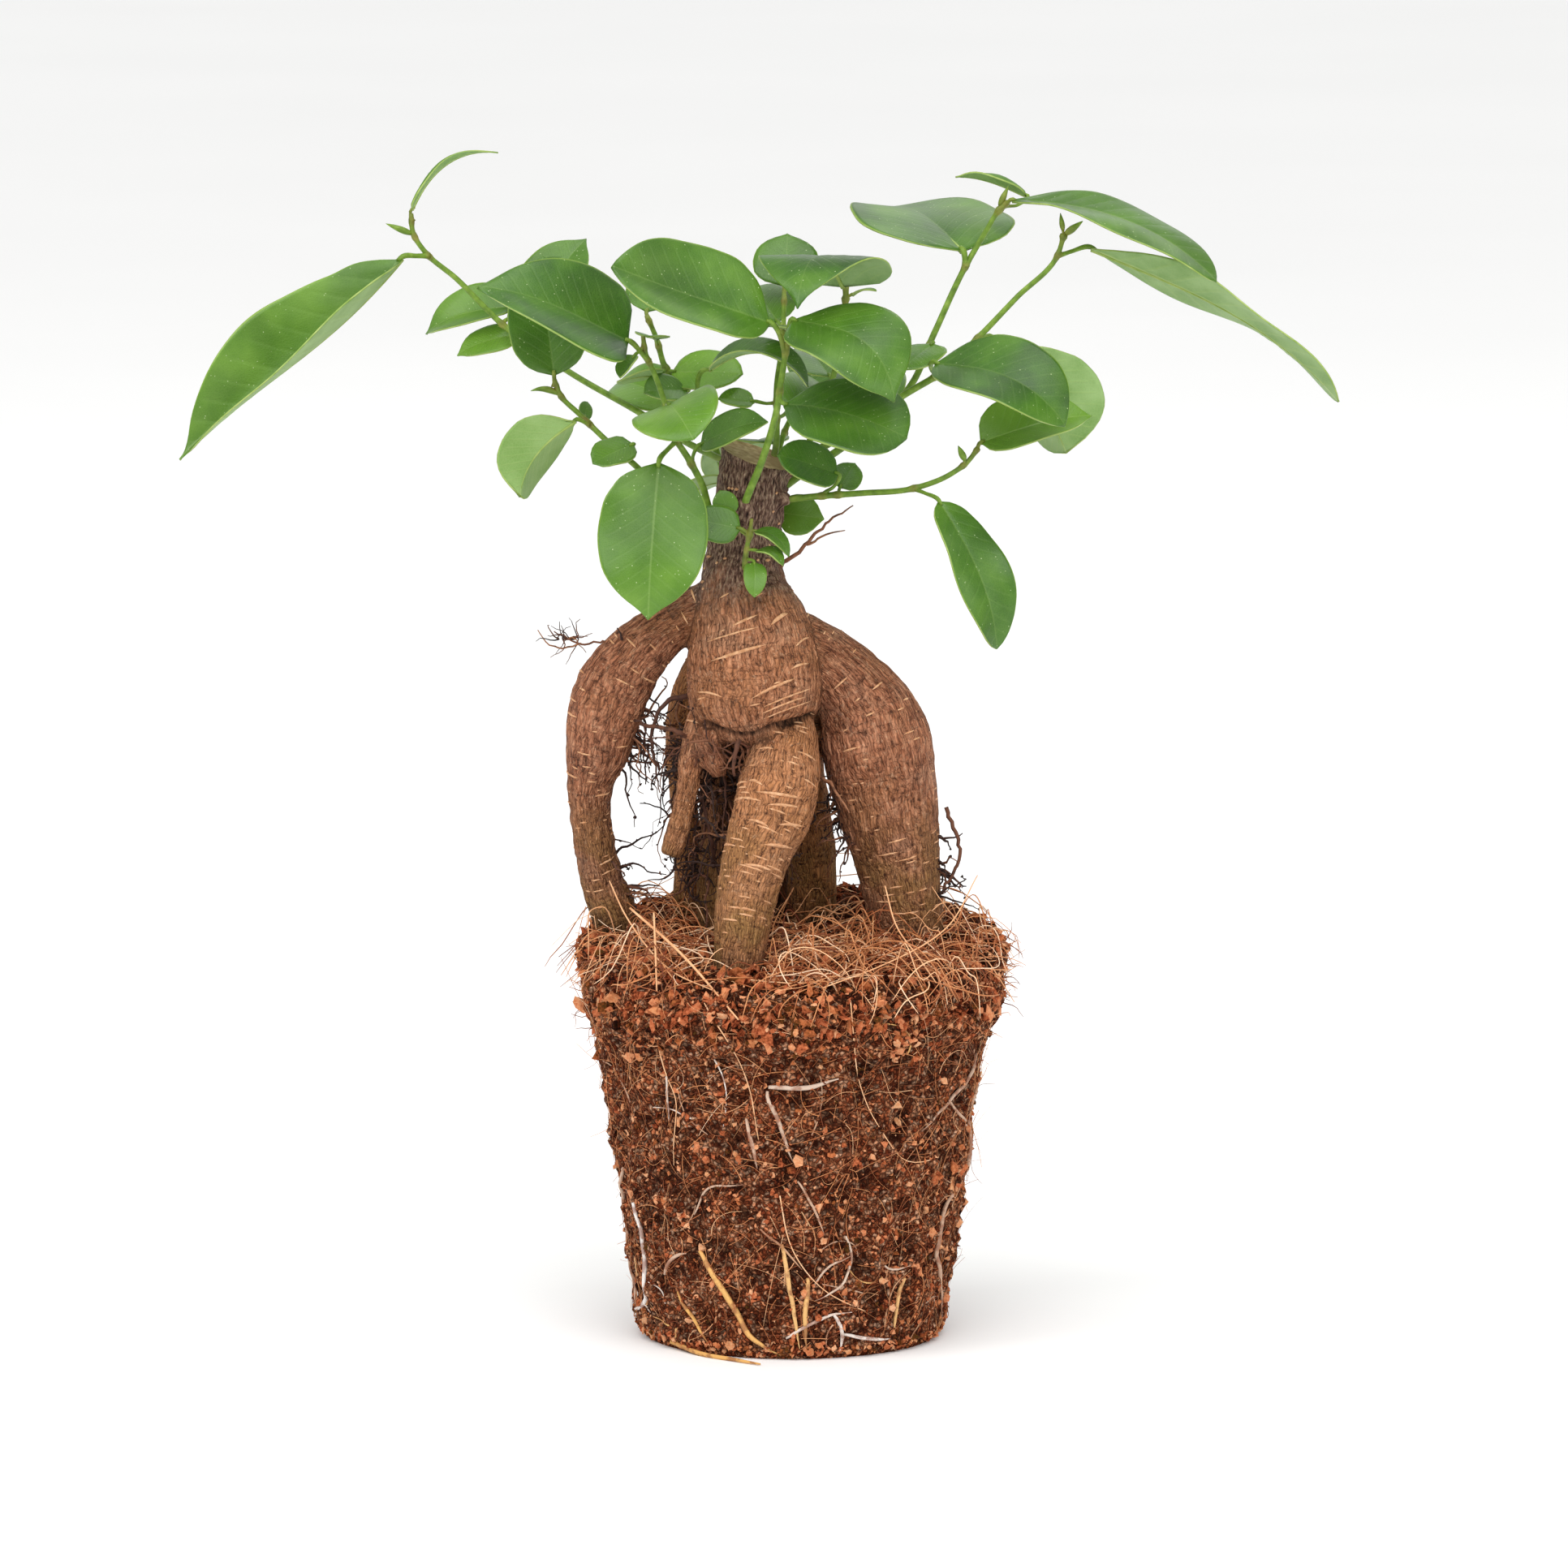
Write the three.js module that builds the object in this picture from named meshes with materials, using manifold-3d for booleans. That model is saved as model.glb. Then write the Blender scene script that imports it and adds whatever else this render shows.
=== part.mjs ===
// A ficus ginseng bonsai lifted out of its nursery pot: a swollen root stock with a sawn trunk, the leafy shoots that
// grow from it, and the pot-shaped ball of coir that its roots stand in.
// Millimetres, +Z up. The origin is the centre of the root ball's flat base, and -Y is the front.
import * as THREE from "three";
import { mergeVertices } from "three/addons/utils/BufferGeometryUtils.js";
import Module from "manifold-3d";

const wasm = await Module();
wasm.setup();

// Driving dimensions
const PLUG = {
  baseRadius: 40,
  baseBevel: 2.5,
  grooveHeight: 79,
  grooveRadius: 50.5,
  collarHeight: 84,
  collarRadius: 54,
  rimHeight: 102,
  rimRadius: 56,
  sides: 40,
};
const SOIL_TOP = 104; // over the middle of the root ball
const SOIL_SLOPE = 0.12; // the soil lies higher at the back
const CLEARANCE = 0.35; // round a root in the soil, and round a shoot in its socket in the trunk
const CUT = { through: [-9.8, 0, 230], normal: [0.33, -0.16, 0.93] }; // the sawn top of the trunk
const LEAF_THICKNESS = 0.7;
const RIB_HEIGHT = 0.5;
const PETIOLE_RADIUS = 0.65;
const FIBRE = { count: 32, radius: 0.4, shortest: 16, longest: 46, rise: 3.5 };
const THREAD_RADIUS = 0.7; // of the pale roots that run down the sides of the root ball

// Half of a leaf's width along its midrib, from its base to its short drip tip. It is broadest at FULLEST, and a leaf
// with a `full` of its own is broadest there.
const FULLEST = 0.4;
const OUTLINE = [
  [0, 0.06],
  [0.05, 0.5],
  [0.16, 0.84],
  [0.34, 1],
  [0.54, 0.98],
  [0.72, 0.8],
  [0.87, 0.46],
  [0.95, 0.16],
  [1, 0.05],
];
// Shorter leaves keep fewer stations of it
const STATIONS = [
  { longest: 12, kept: [0, 2, 5, 8] },
  { longest: 28, kept: [0, 2, 4, 6, 8] },
  { longest: Infinity, kept: [0, 1, 2, 3, 4, 5, 6, 8] },
];

// Each root is a list of stations from the stock down: x, y, z and radius
const ROOTS = {
  trunk: [
    [-9.4, 0, 238, 8.9],
    [-9.7, 0, 228, 8.7],
    [-10.6, 0, 219, 8.7],
    [-12, 0, 210, 8.8],
    [-12.6, 0, 203, 9.6],
    [-12.6, -1, 196, 11.4],
    [-11.2, -3, 188, 14.4],
    [-10.2, -4, 180, 16.6],
    [-9.6, -5, 172, 17.2],
    [-9.3, -6, 164, 16],
    [-9, -6, 158, 12.5],
    [-8.5, -6, 154, 6],
  ],
  left: [
    [-15, 0, 192, 8],
    [-26, 0, 188.5, 6.6],
    [-35, -1, 183, 7.3],
    [-43.4, -1, 174, 8.8],
    [-48.6, -1, 162, 9.3],
    [-50.2, 0, 154, 8.4],
    [-52, 2, 146, 6.3],
    [-52.2, 3, 138, 5.4],
    [-51.2, 4, 128.5, 5.3],
    [-49.6, 6, 120, 5.4],
    [-46, 8, 109, 5.8],
    [-41, 9, 93, 5],
    [-38, 9, 80, 3.4],
  ],
  right: [
    [-6, 0, 184, 8],
    [4.5, 0, 179.5, 8],
    [12.5, 0, 172.5, 9.6],
    [18, 0, 165, 12],
    [21.3, -1, 157, 14],
    [23.4, -1, 147, 13.7],
    [25.6, -1, 135, 12.4],
    [27.4, 0, 126, 11.4],
    [28.8, 0, 117.5, 10.5],
    [29.7, 1, 108, 9.8],
    [31, 1, 92, 8.2],
    [31, 1, 76, 5],
  ],
  front: [
    [-5, -8, 168, 8],
    [-4, -11, 158, 9.6],
    [-3, -14, 149, 10.2],
    [-5, -18, 139, 10],
    [-9, -21, 128, 8.4],
    [-11.5, -24, 118, 7.5],
    [-13, -27, 107, 6.8],
    [-14, -28, 98, 6.2],
    [-15, -29, 86, 5.2],
    [-15, -29, 74, 3.6],
  ],
  back: [
    [-8, 4, 182, 11],
    [-5, 16, 168, 10.5],
    [-3, 24, 152, 9.5],
    [-4, 29, 136, 8],
    [-6, 31, 120, 7],
    [-7, 32, 106, 6.5],
    [-8, 32, 92, 5.5],
    [-8, 32, 78, 4],
  ],
  back_right: [
    [1, 4, 160, 9],
    [2, 10, 148, 6.4],
    [4.6, 15, 135, 5.2],
    [5.5, 20, 122, 5.9],
    [5.3, 23, 110, 6.3],
    [5, 25, 96, 5.6],
    [4, 26, 80, 4],
  ],
  back_left: [
    [-18, 4, 178, 7],
    [-26, 10, 166, 5.4],
    [-29, 14, 155, 4],
    [-28.5, 16, 142, 3.4],
    [-27, 18, 128, 3.6],
    [-27, 19, 113, 3.8],
    [-27, 20, 98, 3.4],
    [-26, 20, 82, 2.6],
  ],
  middle: [
    [-14, 2, 160, 9],
    [-17, 5, 149, 6.4],
    [-18.5, 7, 134, 5.2],
    [-20, 9, 118, 4.8],
    [-20, 10, 102, 4.4],
    [-20, 10, 86, 3.4],
  ],
  stub: [
    [-17, -5, 163, 6],
    [-20.8, -8, 155.5, 5.4],
    [-24.6, -9.5, 148, 3.5],
    [-27, -11, 136, 3.1],
    [-30.5, -12, 127.5, 2.5],
  ],
};
const STANDING = ["left", "right", "front", "back", "back_right", "back_left", "middle"]; // reach into the soil

// Thin dead roots that hang free: x, y, z and radius
const ROOTLETS = [
  [[-6, 0, 199, 0.9], [2, -1, 205, 0.8], [10, -2, 213, 0.6], [16, -3, 217, 0.5]],
  [[4, -1, 206.5, 0.6], [9, 2, 209, 0.5], [14, 3, 210, 0.5]],
  [[-20, -3, 168, 0.9], [-33, -8, 166, 0.6], [-36, -9, 158, 0.5], [-34, -6, 148, 0.5]],
  [[-23, -8, 156, 0.8], [-31, -13, 160, 0.6], [-39, -8, 161, 0.7]],
  [[-12, -13, 158, 0.9], [-14, -20, 157, 0.7], [-15, -20, 149, 0.5]],
  [[8, -6, 166, 0.8], [15, -15, 163, 0.7], [20, -17, 158, 0.6]],
  [[6, -5, 148, 0.7], [13, -15, 144, 0.6], [22, -15, 139, 0.7]],
  [[-18, 2, 152, 0.8], [-23, -5, 144, 0.6], [-21, -7, 132, 0.6], [-20, 4, 122, 0.8]],
  [[40, -2, 138, 0.6], [43.5, -4, 127, 0.5], [39, -4, 116, 0.6]],
];

// Pale roots on the sides of the root ball: the angle and height where each starts, how far it runs, and its sway
const THREADS = [
  { angle: -152, from: 50, to: 8, turn: 10, sway: 3 },
  { angle: -128, from: 34, to: 3, turn: 24, sway: 2 },
  { angle: -99, from: 77, to: 57, turn: 9, sway: 3 },
  { angle: -96, from: 42, to: 3, turn: 3, sway: 2 },
  { angle: -92, from: 33, to: 4, turn: 2, sway: 3 },
  { angle: -88, from: 54, to: 38, turn: 14, sway: 5 },
  { angle: -76, from: 22, to: 3, turn: 4, sway: 4 },
  { angle: -60, from: 24, to: 5, turn: -4, sway: 2 },
  { angle: -40, from: 72, to: 52, turn: -16, sway: 5 },
  { angle: 10, from: 60, to: 6, turn: 14, sway: 5 },
  { angle: 48, from: 70, to: 22, turn: -18, sway: 6 },
  { angle: 84, from: 50, to: 3, turn: 12, sway: 4 },
  { angle: 160, from: 64, to: 10, turn: -10, sway: 6 },
];

// Each shoot has a stem, from inside the trunk to its tip, and its leaves. A leaf leaves the stem at `at`, its blade
// runs from `base` to `tip`, its upper side faces `face`, and `fold` is how far its halves rise from the midrib.
const SHOOTS = {
  left_long: {
    radii: [1.3, 0.8],
    stem: [
      [-13, 4, 226], [-19, 9, 228], [-28, 14, 232], [-38, 18, 238], [-58, 24, 249], [-75, 26, 261], [-87, 26, 273],
      [-95, 25, 280], [-98, 24, 285], [-98.5, 24, 290],
    ],
    leaves: [
      { at: [-94, 25, 279], base: [-101, 20, 279], tip: [-158, 0, 229], face: [-0.45, -0.6, 0.6], width: 31,
        fold: 36 },
      { at: [-98, 24, 288], base: [-98.5, 24, 291], tip: [-76, 29, 305.5], face: [-0.6, 0, 0.8], width: 6,
        fold: 45, arch: 0.16 },
      { at: [-97.5, 24, 284], base: [-98.5, 24, 284.8], tip: [-105, 23, 287.5], face: [0, 0, 1], width: 2.2 },
      { at: [-75, 26, 261], base: [-72, 35, 265], tip: [-95, 42, 258], face: [-0.2, -0.1, 0.95], width: 16,
        fold: 25, arch: 0.1 },
      { at: [-66, 25, 254.7], base: [-72, 31, 257.5], tip: [-86, 30, 255], face: [-0.2, 0, 0.95], width: 10,
        fold: 10, arch: 0.05 },
      { at: [-60, 24, 250], base: [-61, 34, 258], tip: [-54.5, 48, 283], face: [-0.3, -0.8, 0.3], width: 21,
        fold: 18, arch: 0.06 },
      { at: [-71, 25.8, 258.2], base: [-73, 28.5, 264], tip: [-60, 32, 278], face: [-0.5, -0.8, 0.3], width: 11 },
    ],
  },
  left_low: {
    radii: [1.3, 0.8],
    stem: [
      [-15, -1, 205], [-22, -4, 210], [-34, -8, 221], [-39, -9, 227], [-46, -8, 233], [-54.5, -6, 241],
      [-59.5, -5, 246], [-61, -5, 250],
    ],
    leaves: [
      { at: [-61, -5, 248], base: [-61, -5, 251], tip: [-64, 2, 281], face: [0, -1, -0.1], width: 21, fold: 18 },
      { at: [-52, -7, 238.5], base: [-55.5, -10, 240], tip: [-70, -15, 220.5], face: [-0.6, 0.75, 0.3], width: 21,
        fold: 26, arch: 0.14, full: 0.55 },
      { at: [-53, -7, 239.5], base: [-53.2, -5, 240], tip: [-52.5, 1, 243.5], face: [0.5, -0.5, 0.5], width: 4 },
      { at: [-59, -5, 245.6], base: [-60, -5, 246.2], tip: [-67, -6, 247], face: [0, 0, 1], width: 2.2, arch: 0.12 },
      { at: [-43, -8.4, 230.6], base: [-43.5, -11, 232], tip: [-46, -22, 231], face: [-0.58, -0.35, 0.74],
        width: 14, fold: 12 },
    ],
  },
  left_front: {
    radii: [1.4, 0.8],
    stem: [
      [-16, -4, 209], [-20.5, -7, 215], [-23, -8, 223], [-26.5, -10, 230], [-29.5, -12, 235], [-32.5, -14, 245],
      [-35, -14, 252], [-37.5, -14, 258], [-38, -14, 262],
    ],
    leaves: [
      { at: [-36.5, -14, 255.5], base: [-41.5, -16, 260], tip: [-79.5, -24, 276], face: [0.1, -0.68, 0.72],
        width: 34, fold: 28, arch: 0.03 },
      { at: [-38, -14.2, 259], base: [-40, -17, 257.5], tip: [-44, -21, 252], face: [-0.6, -0.6, 0.5], width: 6,
        fold: 25 },
      { at: [-29.5, -12, 235], base: [-34, -20, 230], tip: [-37, -27, 191.5], face: [-0.05, -1, 0.12], width: 28,
        fold: 5, arch: 0.04 },
      { at: [-32, -13.8, 243.5], base: [-31.5, -17.5, 245], tip: [-25, -37, 238], face: [-0.3, -0.4, 0.85],
        width: 23, fold: 10, arch: 0.1 },
      { at: [-25.8, -9.7, 228.6], base: [-23.5, -4, 233], tip: [-6, -9.5, 239.5], face: [-0.1, -0.6, 0.8],
        width: 12.5, fold: 12, arch: 0.05 },
    ],
  },
  front_centre: {
    radii: [1.5, 0.9],
    stem: [
      [-12, -5, 213], [-12.2, -10, 217], [-7.5, -14, 230], [-4, -16, 242], [-2.7, -17, 250], [-1.5, -17, 258],
      [-1, -17, 261],
    ],
    leaves: [
      { at: [-1.5, -17, 258], base: [-5.3, -19, 266], tip: [-45.8, -31, 281.5], face: [0.1, -0.67, 0.74],
        width: 33, fold: 24, arch: 0.01 },
      { at: [-1, -17, 260], base: [0.5, -20, 267], tip: [27, -36, 251], face: [0.2, -0.65, 0.7], width: 26,
        fold: 5, arch: 0.1 },
      { at: [-3, -16.8, 248], base: [-2, -20, 247.5], tip: [28.5, -31, 234.5], face: [0.1, -0.62, 0.78],
        width: 28, fold: 5, arch: 0.15 },
    ],
  },
  middle_back: {
    radii: [1.3, 0.8],
    stem: [
      [-6, 3, 224], [-4, 8, 231], [-3.8, 10, 238], [-3.8, 12, 246], [-2.5, 14, 256], [-2, 15, 263], [-1.8, 17, 272],
    ],
    leaves: [
      { at: [-3.8, 11, 242], base: [-9.5, 11.5, 242.5], tip: [-19, 11, 243.3], face: [0, 0.1, 1], width: 6,
        fold: 15 },
      { at: [-2.1, 14.8, 261], base: [-1.5, 11, 262], tip: [4, -7, 263], face: [0, -0.2, 1], width: 14, fold: 10 },
      { at: [-1.9, 16, 268], base: [-1.8, 18, 272], tip: [-1, 28, 284.5], face: [0, -0.9, 0.4], width: 17 },
      { at: [-2.2, 14.5, 259], base: [-3.5, 19, 262.5], tip: [-14, 38, 268], face: [0, -0.3, 0.95], width: 17,
        fold: 12, arch: 0.1 },
      { at: [-3.9, 10, 238], base: [0, 17, 240], tip: [9, 38, 240], face: [0.1, 0, 1], width: 18, fold: 14,
        arch: 0.1 },
    ],
  },
  top_centre: {
    radii: [1.3, 0.8],
    stem: [
      [-6, 2, 221], [2, 6, 227], [6, 8, 236], [10.5, 8, 248], [12.6, 6, 259], [14, 4, 270], [14.3, 3.5, 273],
    ],
    leaves: [
      { at: [14, 4, 269.5], base: [13.4, 1.5, 273.5], tip: [1.3, -27, 270.5], face: [-0.12, -0.2, 0.97],
        width: 33, arch: 0.32 },
      { at: [14, 4, 270], base: [15.5, 3.5, 271], tip: [22, 1, 272.3], face: [0, 0, 1], width: 4.5, arch: 0.12 },
      { at: [10.2, 8, 247], base: [10, 14, 249], tip: [4, 30, 254], face: [0, -0.4, 0.9], width: 14, fold: 10 },
    ],
  },
  right_tall: {
    radii: [1.5, 0.8],
    stem: [
      [-7, 3, 217], [0, 8, 222], [14, 12, 231], [24, 13, 239], [30.5, 12, 246], [37, 14, 260], [45, 16, 277],
      [50.5, 16, 286.5], [53.5, 15, 291.5], [56, 14, 294],
    ],
    leaves: [
      { at: [45, 16, 277], base: [44.3, 15.5, 281.5], tip: [26, 45, 290], face: [0.16, -0.26, 0.95], width: 44,
        fold: 6, arch: 0.06 },
      { at: [55.5, 14.2, 293.4], base: [57, 12.5, 294.8], tip: [109, -13, 277.6], face: [0.2, -0.3, 0.93], width: 17,
        fold: 10, arch: 0.1 },
      { at: [54, 14.8, 292], base: [61, 22, 295], tip: [42.5, 25, 300.3], face: [0, 0.2, 1], width: 8, fold: 30,
        arch: 0.08 },
      { at: [53.5, 15, 291.5], base: [53.8, 14.8, 293], tip: [56, 14, 298], face: [-1, 0, 0.3], width: 2.2 },
      { at: [35.5, 13.5, 256.5], base: [36.5, 8, 258], tip: [30, -5, 253.5], face: [-0.3, -0.4, 0.85], width: 10 },
      { at: [20, 12.6, 236], base: [20, 18, 240], tip: [20, 44, 246], face: [0.1, -0.1, 1], width: 19, fold: 12,
        arch: 0.1 },
    ],
  },
  right_long: {
    radii: [1.5, 0.8],
    stem: [
      [-6, 0, 224.5], [1, 1, 228], [14, 2, 235], [29, 3, 245], [39, 4, 251], [48.5, 5, 260], [58, 5, 270],
      [68.5, 4, 281], [70.2, 4, 286.5],
    ],
    leaves: [
      { at: [68.5, 4, 281], base: [77.5, 8, 282.7], tip: [141, -6, 244.4], face: [0.35, 0.1, 0.9], width: 24,
        fold: 32, arch: 0.03 },
      { at: [48, 5, 259.5], base: [52, 11, 259], tip: [71.5, 12, 229], face: [0.6, 0.75, 0.25], width: 33,
        fold: 28, arch: 0.03, full: 0.62 },
      { at: [37, 3.8, 250], base: [37, -7, 254.5], tip: [70, -25, 240], face: [0.1, -0.6, 0.8], width: 26,
        fold: 14, arch: 0.1 },
      { at: [70, 4, 286], base: [70.5, 4, 286.5], tip: [75, 3, 290], face: [-0.5, 0, 0.6], width: 2.4 },
      { at: [70, 4, 286], base: [69.9, 4, 287.5], tip: [69.2, 3.5, 292], face: [0.8, 0, 0.2], width: 1.8 },
    ],
  },
  right_low: {
    radii: [1.3, 0.8],
    stem: [
      [-7, -2, 217.5], [-1, -4, 218.7], [7, -6, 219.8], [18, -8, 220.8], [31.5, -10, 222.3], [41, -10, 226],
      [45.5, -9, 229.3], [48, -8, 232.5],
    ],
    leaves: [
      { at: [47.7, -8.1, 232], base: [48.6, -8, 234.5], tip: [77.5, 0, 242.3], face: [-0.1, -0.75, 0.65],
        width: 22, fold: 14, arch: 0.05 },
      { at: [31.5, -10, 222.3], base: [38, -15, 219.5], tip: [52.8, -21, 182], face: [0.6, -0.75, 0.25],
        width: 16, fold: 12, arch: 0.08 },
      { at: [44, -9.3, 228.3], base: [44.5, -10, 229.7], tip: [42.8, -11, 233.4], face: [1, 0, 0.4], width: 2.4 },
      { at: [12, -7, 220.2], base: [12.5, -5, 222], tip: [16.5, 2, 227.5], face: [0.3, -0.5, 0.8], width: 8 },
      { at: [8, -6.2, 219.9], base: [9.2, -9, 223.5], tip: [-2.5, -15, 231.5], face: [0.2, -0.7, 0.7], width: 13 },
    ],
  },
  front_low: {
    radii: [1, 0.6],
    stem: [
      [-12, -6, 201], [-12, -13, 203], [-11.5, -14, 207], [-10.5, -14.5, 212], [-10.2, -14.5, 215],
    ],
    leaves: [
      { at: [-10.6, -14.5, 211.5], base: [-9.5, -15, 212], tip: [-0.5, -18, 205.5], face: [0.3, -0.5, 0.8],
        width: 5.5, fold: 12, arch: 0.2 },
      { at: [-11.5, -14, 207], base: [-9, -16, 207], tip: [-2, -20, 203.5], face: [0.3, -0.4, 0.85], width: 5,
        fold: 10, arch: 0.2 },
      { at: [-11.8, -13.4, 204.5], base: [-9.5, -16.5, 204], tip: [-9.5, -22, 195.5], face: [0.1, -0.9, 0.5],
        width: 6, fold: 10, arch: 0.1 },
      { at: [-10.7, -14.4, 211], base: [-13, -15, 212.5], tip: [-26, -15, 215], face: [0, -0.9, 0.4], width: 10,
        fold: 5 },
      { at: [-10.9, -14.3, 210], base: [-15.8, -12.3, 215.5], tip: [-18.5, -12, 222], face: [0, -0.9, 0.4], width: 6.5 },
    ],
  },
  back_left: {
    radii: [1.4, 0.8],
    stem: [
      [-12, 4, 216], [-16, 11, 221], [-22.5, 17, 236], [-33, 20, 251], [-35, 20, 258], [-37.5, 20, 264],
    ],
    leaves: [
      { at: [-34.5, 20, 256], base: [-35, 17, 258.5], tip: [-37, 4, 260], face: [0, 0, 1], width: 8, fold: 12 },
      { at: [-32.5, 20, 250], base: [-34, 16, 249.5], tip: [-45, 9, 248], face: [0, 0.4, 0.9], width: 12 },
      { at: [-32.5, 20, 250], base: [-30, 18, 250.5], tip: [-12, 13, 252], face: [0, -0.4, 0.9], width: 12,
        fold: 8 },
      { at: [-28, 18.8, 244.4], base: [-29, 12, 246], tip: [-39, 3, 246.5], face: [0, -0.3, 1], width: 9, fold: 14 },
      { at: [-23, 17.2, 236.8], base: [-21.5, 4.5, 251.5], tip: [4.5, 0, 247.5], face: [0, -0.2, 1], width: 12,
        fold: 22, arch: 0.26 },
      { at: [-24, 17.6, 238.5], base: [-28, 22, 240], tip: [-40, 42, 243], face: [0, 0, 1], width: 16, fold: 12,
        arch: 0.12 },
      { at: [-37, 20, 262.5], base: [-37.5, 23, 265], tip: [-30, 44, 268], face: [0, -0.2, 0.95], width: 17,
        fold: 12, arch: 0.12 },
    ],
  },
  back_right: {
    radii: [1.4, 0.8],
    stem: [[-8, 4, 212], [-6, 10, 217], [-4, 20, 226], [0, 30, 236], [5, 38, 240]],
    leaves: [
      { at: [4.5, 37.2, 239.7], base: [7, 41, 240], tip: [21, 57, 230], face: [0.3, 0.2, 0.9], width: 18, fold: 10,
        arch: 0.12 },
      { at: [-1.5, 26.5, 232.6], base: [-4, 31, 230], tip: [-20, 52, 216], face: [-0.3, 0.4, 0.85], width: 20,
        fold: 8, arch: 0.14 },
      { at: [-5.8, 11, 218], base: [-2, 8, 214], tip: [9, 7, 214], face: [0, -0.8, 0.5], width: 9, fold: 6 },
      { at: [-5.4, 13, 219.7], base: [-12, 20, 221], tip: [-30, 30, 212], face: [-0.2, 0.3, 0.9], width: 15,
        fold: 8, arch: 0.12 },
      { at: [4, 36.5, 239], base: [5, 41, 243], tip: [8, 62, 250], face: [0, -0.4, 0.9], width: 15, fold: 14,
        arch: 0.1 },
    ],
  },
};

const vector = ([x, y, z]) => new THREE.Vector3(x, y, z);
const mix = (a, b, share) => a + (b - a) * share;

// A seeded draw, so that the fibres lie the same way each time
function draws(seed) {
  let state = seed;
  return () => {
    state = (state + 0x6d2b79f5) | 0;
    let t = Math.imul(state ^ (state >>> 15), 1 | state);
    t = (t + Math.imul(t ^ (t >>> 7), 61 | t)) ^ t;
    return ((t ^ (t >>> 14)) >>> 0) / 4294967296;
  };
}

// Solids and geometries
function solidOf(geometry) {
  const bare = geometry.clone();
  bare.deleteAttribute("normal");
  bare.deleteAttribute("uv");
  const merged = mergeVertices(bare, 1e-3);
  const mesh = { numProp: 3, vertProperties: merged.attributes.position.array, triVerts: merged.index.array };
  mesh.triVerts = new Uint32Array(mesh.triVerts);
  return new wasm.Manifold(new wasm.Mesh(mesh));
}

function geometryOf(solid) {
  const mesh = solid.getMesh();
  const geometry = new THREE.BufferGeometry();
  geometry.setAttribute("position", new THREE.BufferAttribute(new Float32Array(mesh.vertProperties), 3));
  geometry.setIndex(new THREE.BufferAttribute(new Uint32Array(mesh.triVerts), 1));
  geometry.computeVertexNormals();
  return geometry;
}

const join = (solids) => solids.reduce((all, one) => all.add(one));

// The largest body of a solid, without the loose scraps that a cut leaves
function largest(solid) {
  return solid.decompose().reduce((best, one) => (one.volume() > best.volume() ? one : best));
}

// A closed cylinder bent along a curve through the stations, each x, y, z and radius
function taperedTube(stations, { sides, grow = 0, lumps = 0 }) {
  const curve = new THREE.CatmullRomCurve3(stations.map(vector), false, "centripetal");
  const last = stations.length - 1;
  const normal = new THREE.Vector3(0.31, 0.87, 0.12);
  const rings = stations.map(([x, y, z, radius], row) => {
    const tangent = curve.getTangent(row / last);
    normal.addScaledVector(tangent, -normal.dot(tangent)).normalize();
    const end = row === 0 ? -grow : row === last ? grow : 0;
    const centre = vector([x, y, z]).addScaledVector(tangent, end);
    return { centre, radius, share: row / last, normal: normal.clone(), binormal: tangent.clone().cross(normal) };
  });
  const geometry = new THREE.CylinderGeometry(1, 1, 1, sides, last);
  const position = geometry.attributes.position;
  for (let i = 0; i < position.count; i++) {
    const { centre, radius, share, normal, binormal } = rings[Math.round((0.5 - position.getY(i)) * last)];
    const [across, along] = [position.getX(i), position.getZ(i)];
    const angle = Math.atan2(along, across);
    const ripple = Math.sin(2 * angle + 11 * share) + 0.6 * Math.sin(3 * angle - 17 * share + 1);
    const reach = radius * (1 + lumps * ripple) + grow;
    const point = centre.clone().addScaledVector(normal, across * reach).addScaledVector(binormal, along * reach);
    position.setXYZ(i, point.x, point.y, point.z);
  }
  return solidOf(geometry);
}

const rootTube = (name, grow) => taperedTube(ROOTS[name], { sides: 12, grow, lumps: 0.03 });

function stemStations(shoot) {
  const last = shoot.stem.length - 1;
  return shoot.stem.map((point, i) => [...point, mix(shoot.radii[0], shoot.radii[1], i / last)]);
}

const stemTube = (shoot, grow = 0) => taperedTube(stemStations(shoot), { sides: 6, grow });

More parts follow.
